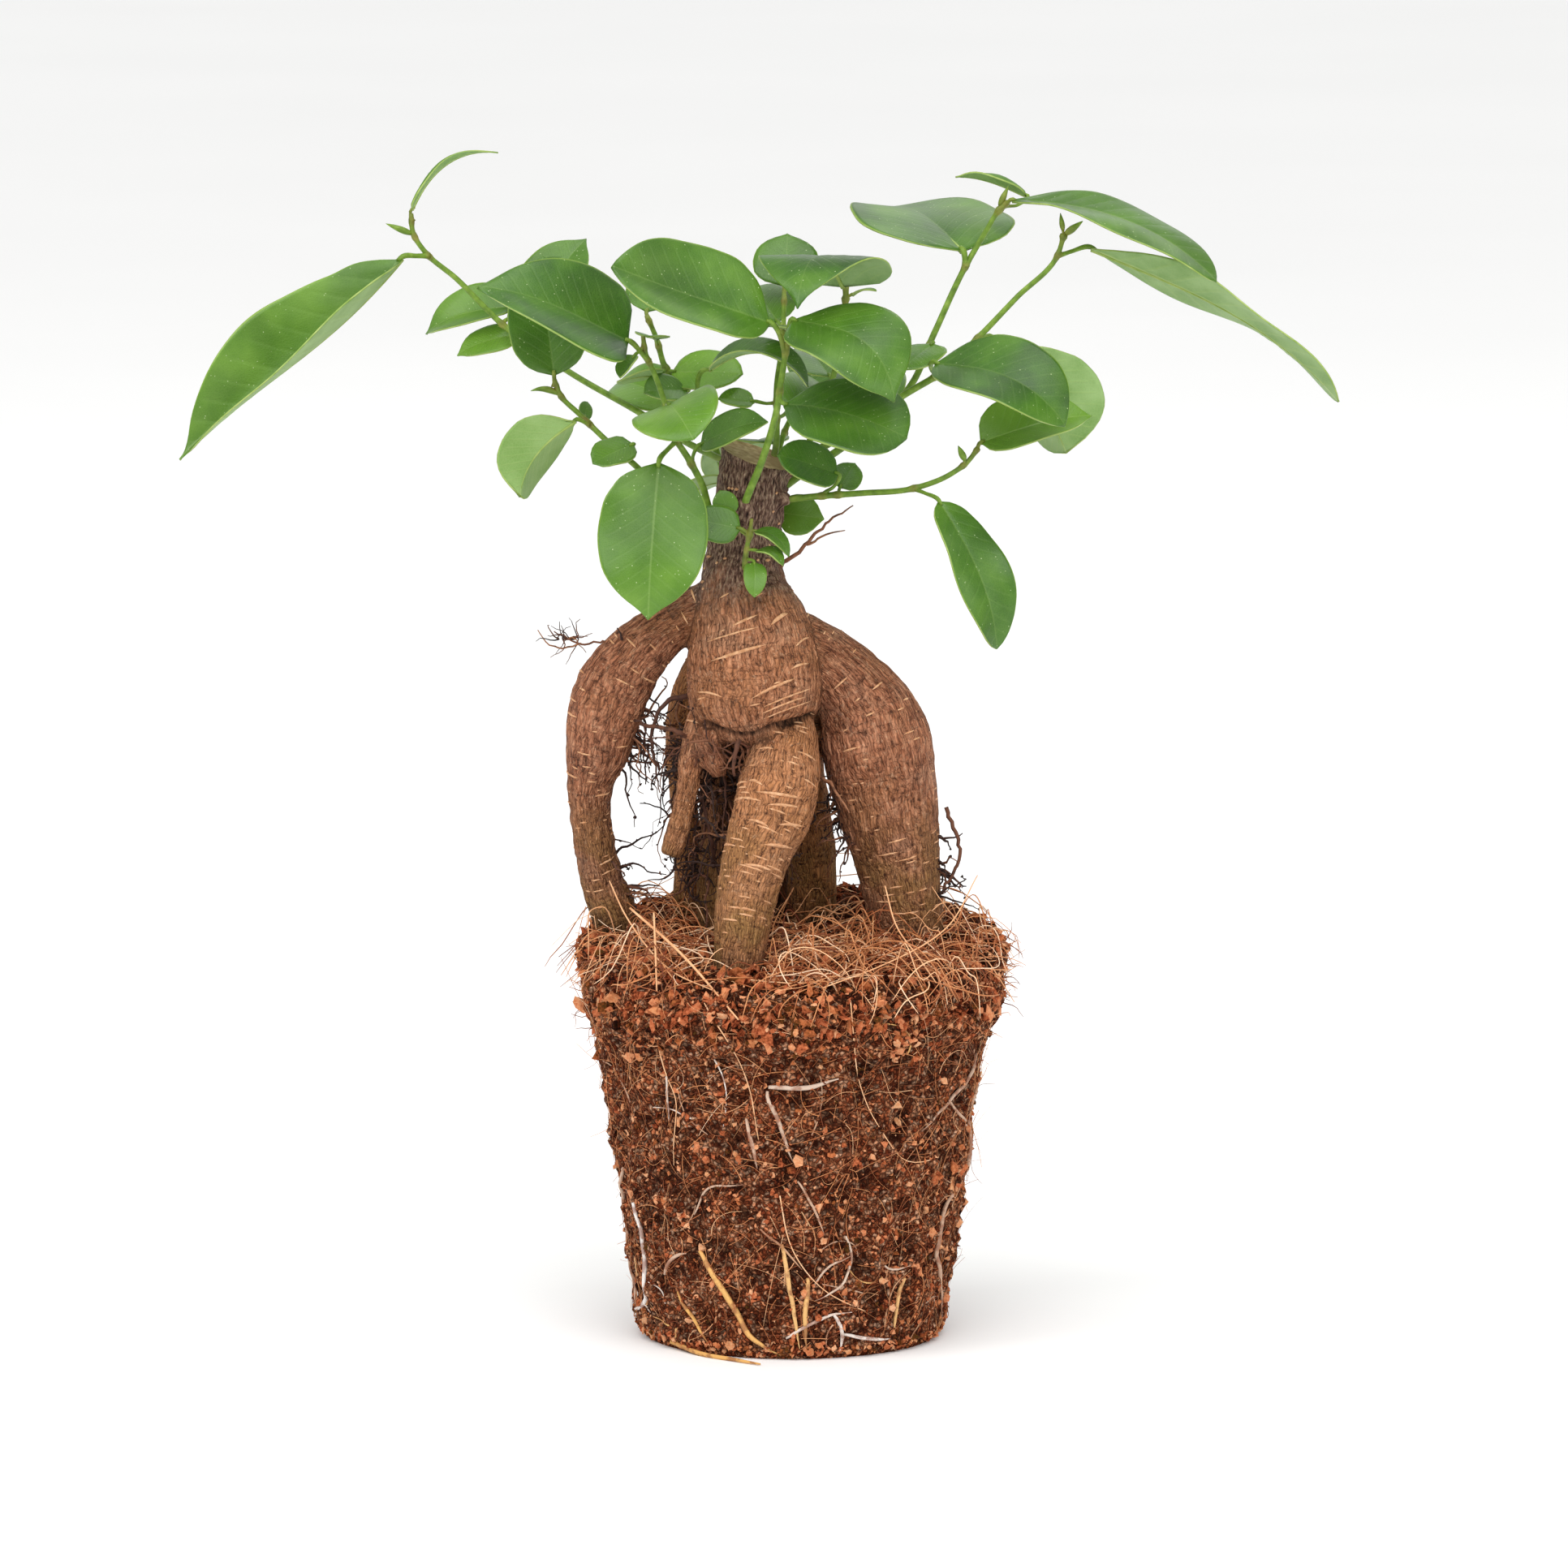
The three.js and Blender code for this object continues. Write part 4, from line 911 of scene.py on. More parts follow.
# %% The steps of one blade
def blade_grid(length):
    """A flat grid, with the place of each point from the midrib to a margin and along the leaf"""
    half = WIDE_COLUMNS if length >= SMALL_LEAF else NARROW_COLUMNS
    columns = np.array([-c for c in half[:0:-1]] + half)
    rows = int(np.clip(length * 0.72, 9, 42))
    bpy.ops.object.select_all(action="DESELECT")
    bpy.ops.mesh.primitive_grid_add(x_subdivisions=len(columns) - 1, y_subdivisions=rows, size=2 * MM)
    blade = bpy.context.object
    flat = points_of(blade)
    column = columns[np.rint((flat[:, 0] + 1) / 2 * (len(columns) - 1)).astype(int)]
    t = (flat[:, 1] + 1) / 2
    return blade, column, np.clip(t - 0.035 * np.sin(2 * math.pi * t), 0, 1)


def spread(leaf, share):
    """How wide the leaf is at each share of its length, between nothing and 1"""
    shift = math.log(leaf.get("full", FULLEST)) / math.log(FULLEST)
    stretched, blunt = share ** (1 / shift), leaf.get("blunt", 0.6)
    return (1 - blunt) * eased(*zip(*POINTED), stretched) + blunt * eased(*zip(*BLUNT), stretched)


def relief(leaf, length, column, share, reach, wave, roll, turn):
    """How high each point stands: the fold, the waved and rolled margin, the droop, the quilting and
    the groove over the midrib, one after another"""
    width, hinge = leaf["width"], 0.05 * leaf["width"]
    height = math.sin(math.radians(leaf.get("fold", 0))) * (np.sqrt(reach**2 + hinge**2) - hinge)
    swing = np.where(column > 0, np.sin(7.5 * share + turn[0]), np.sin(6.5 * share + turn[1]))
    height += wave * swing * column**2 * np.sin(math.pi * share)
    height -= roll * np.abs(column) ** 3
    height += leaf.get("droop", 0.03) * length * 6.75 * share**2 * (1 - share)
    away = np.abs(reach) / length
    lean = share - LEAN * away + STRAIGHTEN * away**2
    vein = np.abs(np.mod(lean * VEINS + np.where(reach > 0, STAGGER, 0.0), 1) - 0.5)
    quilted = QUILTING * length * (ramp(vein, 0.0, 0.35) - 0.5)
    height += quilted * np.sin(math.pi * np.abs(column)) * (1 - share**3)
    groove = GROOVE * min(1, width / 20) * np.exp(-((reach / (0.025 * width + 0.15)) ** 2))
    return height - groove * (1 - share)


def rib_under(leaf, column, share, places, normal):
    """The path of the rib, which follows the middle column and ends before the tip"""
    middle = np.flatnonzero((column == 0) & (share < 0.94))
    thick = (0.2 + 0.011 * leaf["width"]) * (1 - 0.85 * share[middle])
    return np.c_[places[middle] - normal[middle] * (BLADE + 0.15 * thick)[:, None], thick]


def leaf_blade(leaf, rng):
    """One blade as a mesh, and the path of the rib under it"""
    length, width = np.linalg.norm(np.subtract(leaf["tip"], leaf["base"])), leaf["width"]
    blade, column, share = blade_grid(length)
    rib, _, side, normal, _ = blade_frame(leaf, share)
    reach = column * spread(leaf, share) * width / 2

    # No two leaves wave, roll or bend alike
    wave, roll = rng.uniform(0.008, 0.02) * length * leaf.get("wave", 1), rng.uniform(0.0, 0.035) * width
    turn = rng.uniform(0, 6.3, 4)
    sway = (leaf.get("bend", 0) + rng.uniform(-0.012, 0.012)) * length * np.sin(math.pi * share)
    bow = rng.uniform(-0.008, 0.008) * length * np.sin(2 * math.pi * share + turn[2])
    height = relief(leaf, length, column, share, reach, wave, roll, turn)

    across = (reach * math.cos(math.radians(leaf.get("fold", 0))) + sway)[:, None]
    places = rib + side * across + normal * (height + bow * share)[:, None]
    place_points(blade, places)
    paint(blade, "blade", np.stack([share, reach / length, np.abs(column)], axis=1))
    youth = np.clip(leaf.get("youth", 0.55 - length / 70) + rng.uniform(-0.1, 0.1), 0, 1)
    paint(blade, "youth", np.full(len(places), youth))
    clothe(blade, LEAF_FINISHES)
    smooth(blade)
    modify(blade, "SOLIDIFY", thickness=BLADE * MM, offset=-1, use_even_offset=False, material_offset=1,
           material_offset_rim=MARGIN_SLOT)
    return blade, rib_under(leaf, column, share, places, normal)


print("a leaf is fullest at", FULLEST, "of its length, where spread is", spread({}, np.array([FULLEST])))

# %% [markdown]
# ## Stalks, ribs, stems and buds
# All of these are round and tapered, which is what a beveled curve gives: each point has its own radius.
# The stem swells where a stalk leaves it, and blushes brown there. The rib under a blade is a tapered
# thread half sunk in it.


# %% Round green parts
def leaf_stalk(leaf):
    """The stalk's stations from the stem to a little way under the blade, thickest at the stem"""
    at, base = np.array(leaf["at"], float), np.array(leaf["base"], float)
    ahead = unit(np.array(leaf["tip"], float) - base)
    gap = np.linalg.norm(base - at)
    bend = (at + base) / 2 - 0.1 * gap * ahead + np.array([0, 0, -0.05 * gap])
    thick = 0.36 + 0.009 * leaf["width"]
    stations = [(*at, thick + 0.35), (*(at * 0.85 + base * 0.15), thick + 0.1), (*bend, thick),
                (*base, thick + 0.05), (*(base + ahead * 1.2), thick - 0.1)]
    return smooth_path(stations, 0.8)


def bud(leaf):
    """A rolled, pointed bud from the stalk's end to its tip"""
    share = np.array([0, 0.12, 0.35, 0.6, 0.82, 1])
    thick = np.array([0.55, 0.8, 0.95, 0.75, 0.42, 0.08]) * leaf["width"] / 2.4
    rib = blade_frame(leaf, share)[0]
    return smooth_path(np.c_[rib, thick], 0.5)


def stem_path(shoot):
    """The stem's stations with radii, and a swelling where each stalk leaves it"""
    first, last = shoot["radii"]
    radii = 0.74 * np.linspace(first, last, len(shoot["stem"]))
    path = smooth_path(np.c_[np.array(shoot["stem"], float), radii], 0.8)
    for leaf in shoot["leaves"]:
        gap = np.linalg.norm(path[:, :3] - np.array(leaf["at"], float), axis=1)
        path[:, 3] += 0.28 * np.exp(-((gap / 0.9) ** 2))
    return path


def blush_of(points, shoot):
    """How brown the stem is: most at its tip, at its foot and where a stalk leaves it"""
    tip, foot = np.array(shoot["stem"][-1], float), np.array(shoot["stem"][0], float)
    blush = 0.45 * np.exp(-((np.linalg.norm(points - tip, axis=1) / 6) ** 2))
    blush += 0.6 * np.exp(-((np.linalg.norm(points - foot, axis=1) / 10) ** 2))
    for leaf in shoot["leaves"]:
        gap = np.linalg.norm(points - np.array(leaf["at"], float), axis=1)
        blush = np.maximum(blush, 0.65 * np.exp(-((gap / 1.8) ** 2)))
    return np.clip(blush, 0, 1)


print("points along the first stem:", len(stem_path(SHOOTS["left_long"])))


# %% Grow the shoots
def grow_shoot(name, shoot, rng):
    """One shoot as a single piece: blades, ribs, stem, stalks and buds"""
    leaves = [leaf for leaf in shoot["leaves"] if leaf["width"] >= BUD]
    buds = [leaf for leaf in shoot["leaves"] if leaf["width"] < BUD]
    blades, rib_paths = zip(*(leaf_blade(leaf, rng) for leaf in leaves))
    stem, _ = threads(name + "_stem", [stem_path(shoot)], roundness=3)
    stalks, _ = threads(name + "_stalks", [leaf_stalk(leaf) for leaf in shoot["leaves"]], roundness=2)
    pointed, _ = threads(name + "_buds", [bud(leaf) for leaf in buds], roundness=2) if buds else (None, 0)
    ribs, _ = threads(name + "_ribs", rib_paths, roundness=1)
    for part in filter(None, (stem, stalks, pointed, ribs)):
        clothe(part, LEAF_FINISHES)
        slot = MARGIN_SLOT if part is ribs else STEM_SLOT
        part.data.polygons.foreach_set("material_index", np.full(len(part.data.polygons), slot, np.int32))
        paint(part, "blush", blush_of(points_of(part), shoot))
    grown = joined("leafy_" + name, [*blades] + [part for part in (stem, stalks, pointed, ribs) if part])
    settle(grown, LEAF_FINISHES, "shoot_" + name)


leaf_rng = np.random.default_rng(11)
for shoot_name, shoot_table in SHOOTS.items():
    grow_shoot(shoot_name, shoot_table, leaf_rng)

# %% [markdown]
# ## The root stock
# The trunk, the bulb and the swollen roots are one body in life, with soft creases where they meet. Tubes
# along the same stations as the part's are joined, and a voxel remesh melts them into one closed skin,
# which a Smooth modifier rounds off in the creases. Where a shoot leaves the trunk, a short tapered tube
# stands for the callus at its foot. Wrinkles are then raised in the skin itself, along each root's own
# grain, so that they show in the outline too.

# %% The roots' stations
# Each station is a point on the root's centre line and the root's radius there
ROOTS = {
    "trunk": [
        (-9.4, 0, 238, 8.9), (-9.7, 0, 228, 8.7), (-10.6, 0, 219, 8.7), (-12, 0, 210, 8.8),
        (-12.6, 0, 203, 9.6), (-12.6, -1, 196, 11.4), (-11.2, -3, 188, 14.4), (-10.2, -4, 180, 16.6),
        (-9.6, -5, 172, 17.2), (-9.7, -6.2, 166, 16.6), (-9.9, -7, 162.4, 15),
        (-9.8, -7.5, 160.2, 11.5), (-9.2, -7, 158.6, 6),
    ],
    "left": [
        (-15, 0, 192, 8), (-26, 0, 188.5, 6.6), (-35, -1, 183, 7.3), (-43.4, -1, 174, 8.8),
        (-48.6, -1, 162, 9.3), (-50.2, 0, 154, 8.4), (-52, 2, 146, 6.3), (-52.2, 3, 138, 5.4),
        (-51.2, 4, 128.5, 5.3), (-49.6, 6, 120, 5.4), (-46, 8, 109, 5.8), (-41, 9, 93, 5),
    ],
    "right": [
        (-6, 0, 184, 8), (4.5, 0, 179.5, 8), (12.5, 0, 172.5, 9.6), (18, 0, 165, 12),
        (21.3, -1, 157, 14), (23.4, -1, 147, 13.7), (25.6, -1, 135, 12.4), (27.4, 0, 126, 11.4),
        (28.8, 0, 117.5, 10.5), (29.7, 1, 108, 9.8), (31, 1, 92, 8.2),
    ],
    "front": [
        (-2, -4, 168, 6.5), (-1.4, -7.5, 158.5, 7.6), (-2.4, -12.5, 150, 9.6), (-5, -17.5, 139, 10),
        (-9, -21, 128, 8.4), (-11.5, -24, 118, 7.5), (-13, -27, 107, 6.8), (-14, -28, 98, 6.2),
        (-15, -29, 86, 5.2),
    ],
    "back": [
        (-8, 4, 182, 11), (-5, 16, 168, 10.5), (-3, 24, 152, 9.5), (-4, 29, 136, 8), (-6, 31, 120, 7),
        (-7, 32, 106, 6.5), (-8, 32, 92, 5.5),
    ],
    "back_right": [
        (1, 4, 160, 9), (2, 10, 148, 6.4), (4.6, 15, 135, 5.2), (5.5, 20, 122, 5.9),
        (5.3, 23, 110, 6.3), (5, 25, 96, 5.6),
    ],
    "back_left": [
        (-18, 4, 178, 7), (-26, 10, 166, 5.4), (-29, 14, 155, 4), (-28.5, 16, 142, 3.4),
        (-27, 18, 128, 3.6), (-27, 19, 113, 3.8), (-27, 20, 98, 3.4),
    ],
    "middle": [
        (-14, 2, 160, 9), (-17, 5, 149, 6.4), (-18.5, 7, 134, 5.2), (-20, 9, 118, 4.8),
        (-20, 10, 102, 4.4), (-20, 10, 92, 3.8),
    ],
    "stub": [
        (-18, -3, 165, 4.4), (-23.5, -7.5, 160.5, 4), (-25.6, -9.5, 153, 3.2), (-27, -11, 143, 2.8),
        (-29, -12, 134.5, 2.7), (-31.3, -12.3, 127.5, 2.5),
    ],
    "knob": [(-20, -7, 161, 3.8), (-21.5, -11, 157, 3.7), (-20.3, -12.3, 152, 3.1), (-18.5, -12, 148, 1.8)],
}
CUT_THROUGH = np.array([-9.8, 0, 230])
CUT_NORMAL = unit([0.33, -0.16, 0.93])
VOXEL = 0.7  # the remesh's cell
ROOT_PATHS = {name: smooth_path(stations, 1.5) for name, stations in ROOTS.items()}
TRUNK_AXIS = ROOT_PATHS["trunk"][:, :3]
CALLUS_REACH = 11.5  # how far from the trunk's axis a callus ends
CALLUS_THICK = 3.2
print("points along each root:", {name: len(path) for name, path in ROOT_PATHS.items()})


# %% Tubes melted into one skin
def callus(shoot):
    """A short swelling where a stem leaves the trunk"""
    path = stem_path(shoot)
    inside = np.array([np.linalg.norm(TRUNK_AXIS - point, axis=1).min() for point in path[:, :3]])
    path = path[: max(4, int((inside < CALLUS_REACH).sum()))]
    path[:, 3] = np.linspace(CALLUS_THICK, path[-1, 3] + 0.35, len(path))
    return path


tubes = list(ROOT_PATHS.values()) + [callus(shoot) for shoot in SHOOTS.values()]
bark, _ = threads("bark_skin", tubes, roundness=10)
modify(bark, "REMESH", mode="VOXEL", voxel_size=VOXEL * MM)
modify(bark, "SMOOTH", factor=0.5, iterations=3)
print("melted skin:", triangles(bark), "triangles")

# %% [markdown]
# ## The grain of each root
# For every point of the skin and every root, this finds the nearest place on the root's centre line, and
# the angle round it. Near a crease two roots share a point, and their wrinkles are blended by how near
# each root's skin is.


# %% Grain coordinates
def root_frames(path):
    """Directions across a root at every point of its path, carried along without twisting"""
    tangents = unit(np.gradient(path[:, :3], axis=0))
    across = np.array([0.31, 0.87, 0.12])
    frames = []
    for tangent in tangents:
        across = unit(across - tangent * (across @ tangent))
        frames.append((across, np.cross(tangent, across)))
    return tangents, np.array([f[0] for f in frames]), np.array([f[1] for f in frames])


def on_root(points, path):
    """How each point lies on one root: how far from its skin, and its place round and along the root"""
    centre = path[:, :3]
    _, across, upwards = root_frames(path)
    run = np.concatenate([[0], np.cumsum(np.linalg.norm(np.diff(centre, axis=0), axis=1))])
    squares = (points**2).sum(1)[:, None] + (centre**2).sum(1)[None] - 2 * points @ centre.T
    nearest = squares.argmin(1)
    away = points - centre[nearest]
    x, y = (away * across[nearest]).sum(1), (away * upwards[nearest]).sum(1)
    angle = np.arctan2(y, x)
    along = np.cross(across[nearest], upwards[nearest])
    distance = run[nearest] + (away * along).sum(1)
    gap = np.sqrt(np.maximum(squares[np.arange(len(points)), nearest], 0)) - path[nearest, 3]
    size = path[:, 3].mean()
    return gap, np.stack([size * np.cos(angle), size * np.sin(angle), distance], axis=1)


def wrinkles(grain, seed):
    """The height of the skin from its grain: long swells, lengthwise wrinkles and faint folds across"""
    swell = noise(grain / (7, 7, 20), seed)
    ridge = 1 - 2 * np.abs(noise(grain / (1.7, 1.7, 9), seed + 1))
    fine = noise(grain / (1.4, 1.4, 4), seed + 2)
    folds = noise(grain / (8, 8, 2.1), seed + 3)
    return 0.55 * swell + 0.24 * ridge + 0.2 * fine + 0.2 * folds


# %% The grain of every point
# How much lighter than the rest these roots are painted: partly their own paler skin, partly painted light
# on the middle and back roots, which lie in shade behind the front root and the bulb
FAIR_AND_LIT_ROOTS = {
    "front": 1, "middle": 1, "back_right": 2.2, "back_left": 2.2, "stub": 0.6, "trunk": 0.35,
}
points = points_of(bark)
total, height, fair, nearest = np.zeros((4, len(points)))
grain = np.zeros((len(points), 3))
for seed, (name, path) in enumerate(ROOT_PATHS.items()):
    gap, lie = on_root(points, path)
    weight = np.exp(-((np.maximum(gap, 0) / 1.6) ** 2)) + 1e-6 / (1 + gap**2)
    total += weight
    height += weight * wrinkles(lie + 40 * seed, 20 * seed)
    fair += weight * FAIR_AND_LIT_ROOTS.get(name, 0)
    grain[weight > nearest] = (lie + 40 * seed)[weight > nearest]
    nearest = np.maximum(nearest, weight)
height /= total
print("the skin rises by", height.min().round(2), "to", height.max().round(2), "mm along the grain")

# %% Raise the wrinkles
neck = ramp(points[:, 2] + 6 * noise(points / (3, 3, 14), 300), 187, 203)
rough = 0.55 * noise(points / (2.6, 2.6, 3.6), 301) + 0.4 * noise(points / 1.4, 302)
height = height * (1 - 0.5 * neck) + rough * (0.1 + 0.9 * neck)

# The deep fold under the bulb, as points across and up the front
FOLD = [(-22, 161.8), (-17, 160.3), (-12, 159.6), (-8.5, 160), (-5.5, 161.2), (0, 162.2), (5.5, 163.8)]
fold_path = smooth_path([(across, 0, up, 0) for across, up in FOLD], 0.5)
apart = points[:, None, (0, 2)] - fold_path[None][:, :, (0, 2)]
away = np.hypot(*apart.transpose(2, 0, 1)).min(1)
fold = np.exp(-((away / 0.8) ** 2)) * (points[:, 1] < -8)
place_points(bark, points + normals_of(bark) * (height - 1.3 * fold)[:, None])
paint(bark, "grain", grain)
paint(bark, "fair", fair / total)
print("points in the deep fold:", int((fold > 0.5).sum()))


# %% Find the hollows, and paint shade in them, a darker band at the soil line, the foot and the neck
def spread_over(values, edges, count, times):
    """Each point's value averaged with its neighbours', a few times over"""
    degree = np.bincount(edges.ravel(), minlength=count)
    for _ in range(times):
        near = np.bincount(edges[:, 0], values[edges[:, 1]], count)
        near += np.bincount(edges[:, 1], values[edges[:, 0]], count)
        values = 0.5 * values + 0.5 * near / np.maximum(degree, 1)
    return values


edges = np.empty(len(bark.data.edges) * 2, np.int32)
bark.data.edges.foreach_get("vertices", edges)
edges = edges.reshape(-1, 2)
points, normals = points_of(bark), normals_of(bark)
mean = np.stack([spread_over(points[:, i], edges, len(points), 3) for i in range(3)], axis=1)
sunk = ((mean - points) * normals).sum(1)
broad = spread_over(sunk, edges, len(points), 14)
crease = np.clip(0.8 * ramp(broad, 0.03, 0.11) + 0.5 * ramp(sunk, 0.06, 0.24), 0, 1)
INNER_MIDDLE, INNER_REACH = (-12, 4, 143), (14, 12, 20)  # the dark space between the roots
inner = np.exp(-(((points - INNER_MIDDLE) / INNER_REACH) ** 2).sum(1))
# Painted shade in the space between the roots, behind the front root
inner_shade = 1.1 * inner * (0.6 + 0.5 * noise(points / 5, 311))
SOIL_SLOPE = 0.12  # how much the soil rises towards the back
soil_line = 1 - ramp(points[:, 2] - SOIL_SLOPE * points[:, 1], 105, 112)
# Painted shade in the deep fold, the creases and the space between the roots, and darker near the soil line
shade_and_soil_line = np.clip(0.95 * fold + 0.65 * crease + inner_shade + 0.5 * soil_line, 0, 0.95)
foot = (1 - ramp(points[:, 2], 112, 150)) * 0.75
paint(bark, "weather", np.stack([shade_and_soil_line, foot, neck], axis=1))
print("points in dark hollows:", int((shade_and_soil_line > 0.5).sum()), "of", len(shade_and_soil_line))

# %% Saw the trunk, and leave a rim of bark round the cut
cut = {"plane_co": Vector(CUT_THROUGH * MM), "plane_no": Vector(CUT_NORMAL)}
with editing(bark):
    bpy.ops.mesh.bisect(**cut, use_fill=True, clear_outer=True)
    bpy.ops.mesh.inset(thickness=1.0 * MM, depth=-0.35 * MM)
smooth(bark)
centres = np.array([face.center[:] for face in bark.data.polygons]) / MM
on_cut = (centres - CUT_THROUGH) @ CUT_NORMAL > -0.45
turned = np.array([face.normal[:] for face in bark.data.polygons]) @ CUT_NORMAL > 0.85
sawn = on_cut & turned & (centres[:, 2] > 222)
clothe(bark, BARK_FINISHES)
bark.data.polygons.foreach_set("material_index", sawn.astype(np.int32))
bark.data.polygons.foreach_set("use_smooth", ~sawn)
settle(bark, BARK_FINISHES, "root_stock")
print("sawn faces:", int(sawn.sum()))

# %% [markdown]
# ## Lenticels
# Lenticels are the corky bars that a root breathes through. Each one here follows the skin partway round
# its root and is thickest in its middle. Its points are found by looking from outside towards the root's
# centre line until the skin is met, so it lies on the real surface. Most are laid at random, more on some
# roots than on others, and small dots stand for them above the trunk's shoulder. The longest at the front
# are placed one by one, from a table.


# %% A bar that lies on the skin
def surface(obj):
    """The object's surface, for looking where a line meets it"""
    mesh = obj.data
    mesh.calc_loop_triangles()
    corners = np.empty(len(mesh.loop_triangles) * 3, np.int32)
    mesh.loop_triangles.foreach_get("vertices", corners)
    return BVHTree.FromPolygons(points_of(obj).tolist(), corners.reshape(-1, 3).tolist())


def lenticel(skin, path, frames, row, angle, half, slant, stout):
    """A bar across a root, or nothing where another root is in the way. It climbs by its slant."""
    _, across, upwards = frames
    middle = across[row] * math.cos(angle) + upwards[row] * math.sin(angle)
    bar = []
    for share in (-1, -0.6, -0.2, 0.2, 0.6, 1):
        turn = angle + share * half
        out = across[row] * math.cos(turn) + upwards[row] * math.sin(turn)
        radius = path[row, 3]
        centre = path[row, :3] + (0, 0, slant * radius * (out[0] - middle[0]))
        hit = skin.ray_cast(Vector(centre + out * radius * 1.5), Vector(-out), radius)[0]
        if hit is None or abs((Vector(centre) - hit).length - radius) > 0.2 * radius + 0.8:
            return None
        thick = stout * (0.2 + 0.05 * half * radius) * math.cos(share * 1.35) + 0.05
        bar.append((*(np.array(hit) - out * 0.1), thick))
    return bar


bark_surface = surface(bark)
print("faces to look for:", len(bark.data.loop_triangles))

# %% The lenticels' tables
# How many lenticels there are to each 4.5 mm of a root, how long they are and how much they slant
LENTICELS = {
    "left": (6.0, 1.0, 0.1), "right": (9.0, 1.0, 0.05), "front": (11.0, 1.1, -0.06),
    "trunk": (2.5, 1.0, 0.3), "back": (4.0, 1.0, 0.0), "back_right": (3.0, 1.0, 0.0),
    "back_left": (1.8, 0.8, 0.0), "middle": (2.0, 0.8, 0.0), "stub": (2.0, 0.7, 0.0),
}
# The longest bars at the front, from one end to the other across and up the picture, and half their height
LONG_BARS = [
    ([(-22.5, 182.8), (-8.4, 187.4)], 0.2), ([(-20.7, 178.4), (-6.4, 183)], 0.4),
    ([(-10, 169.6), (1, 174)], 0.35), ([(-5.2, 187.8), (-1, 190.2)], 0.6),
    ([(0, 176.5), (4.4, 177.3)], 0.3), ([(-24.3, 170), (-18, 169.6)], 0.25),
    ([(-7.1, 167.2), (5.4, 171)], 0.18), ([(-7.5, 165.4), (3.5, 169)], 0.22),
    ([(-7.4, 163.8), (4.8, 167.6)], 0.18), ([(1, 182), (4.6, 183.6)], 0.25),
    ([(-11, 148), (-7.5, 147.2)], 0.35), ([(-9, 145.5), (3, 143.6)], 0.4),
    ([(-6, 142.5), (2, 141.4)], 0.3), ([(-11, 138.5), (-6, 137)], 0.35),
    ([(-3, 137.5), (3.5, 136)], 0.35), ([(-7, 132.5), (0.5, 130.6)], 0.4),
    ([(-12, 127.5), (-5, 125.6)], 0.35),
]
LOWEST, SHOULDER, SAWN = 106, 196, 226  # above the shoulder the trunk has only dots
print("roots with lenticels:", len(LENTICELS), "bars placed by eye:", len(LONG_BARS))

# %% Lay the lenticels
lenticel_rng = np.random.default_rng(23)
bars = []
for name, (per_ring, longer, slant) in LENTICELS.items():
    path = ROOT_PATHS[name]
    frames = root_frames(path)
    for row in range(3, len(path) - 5, 3):
        dots = path[row, 2] > SHOULDER
        if path[row, 2] < LOWEST or dots and (name != "trunk" or path[row, 2] > SAWN):
            continue
        for _ in range(lenticel_rng.poisson(per_ring * (3 if dots else 1))):
            size = longer * np.clip(lenticel_rng.lognormal(0.2, 0.62), 0.4, 3.6)
            size, stout = (0.35 + 0.14 * size, 1.9) if dots else (size, 1)
            shifted = min(len(path) - 1, row + int(lenticel_rng.integers(-1, 2)))
            angle = lenticel_rng.uniform(0, 2 * math.pi)
            bar = lenticel(bark_surface, path, frames, shifted, angle, size / path[row, 3], slant, stout)
            if bar:
                bars.append(bar)
for spots, thick in LONG_BARS:
    (left, low), (right, high) = spots
    found = []
    for share in np.linspace(0, 1, 9):
        across, up = left + (right - left) * share, low + (high - low) * share + 0.5 * math.sin(3 * share)
        hit = bark_surface.ray_cast(Vector((across, -60, up)), Vector((0, 1, 0)), 60)[0]
        if hit is not None:
            found.append((*hit, thick * (1 - abs(2 * share - 1) ** 3) + 0.08))
    bars.append(found)
corks, _ = threads("lenticels", bars, roundness=0)
settle(corks, [LENTICEL_CORK])
print("lenticels:", len(bars))

# %% [markdown]
# ## Dead roots and hairs
# Thin dead roots hang from the bulb and clog the space between the roots. Each starts on the bark and
# wanders: it keeps most of its direction at every step, is pulled a little downwards and turns at random.
# Crumbs of old soil cling to them.

# %% Wandering roots
# The dry twig, the strands and the thickest dead roots, placed one by one
ROOTLETS = [
    [(-6, 0, 199, 0.7), (2, -1, 205, 0.55), (10, -2, 213, 0.34), (16, -3, 217, 0.16)],
    [(4, -1, 206.5, 0.4), (9, 2, 209, 0.28), (14, 3, 210, 0.14)],
    [(-20, -3, 168, 0.9), (-33, -8, 166, 0.6), (-36, -9, 158, 0.5), (-34, -6, 148, 0.35)],
    [(-23, -8, 156, 0.8), (-31, -13, 160, 0.6), (-39, -8, 161, 0.5)],
    [(-12, -13, 158, 0.9), (-14, -20, 157, 0.7), (-15, -20, 149, 0.35)],
    [(8, -6, 166, 0.6), (13, -15, 164, 0.5), (16, -17.5, 160, 0.25)],
    [(6, -5, 148, 0.6), (11, -14, 145, 0.45), (15, -17, 139, 0.25)],
    [(-18, 2, 152, 0.8), (-23, -5, 144, 0.6), (-21, -7, 132, 0.6), (-20, 4, 122, 0.8)],
    [(40, -2, 138, 0.6), (43.5, -4, 127, 0.5), (39, -4, 116, 0.4)],
    [(-40, -3, 180, 0.4), (-47, -3, 181.6, 0.3), (-54, -2, 181, 0.27), (-61, -1, 184, 0.16)],
    [(-54, -2, 181, 0.25), (-61, -1, 180, 0.22), (-66, -2, 184.5, 0.12)],
]
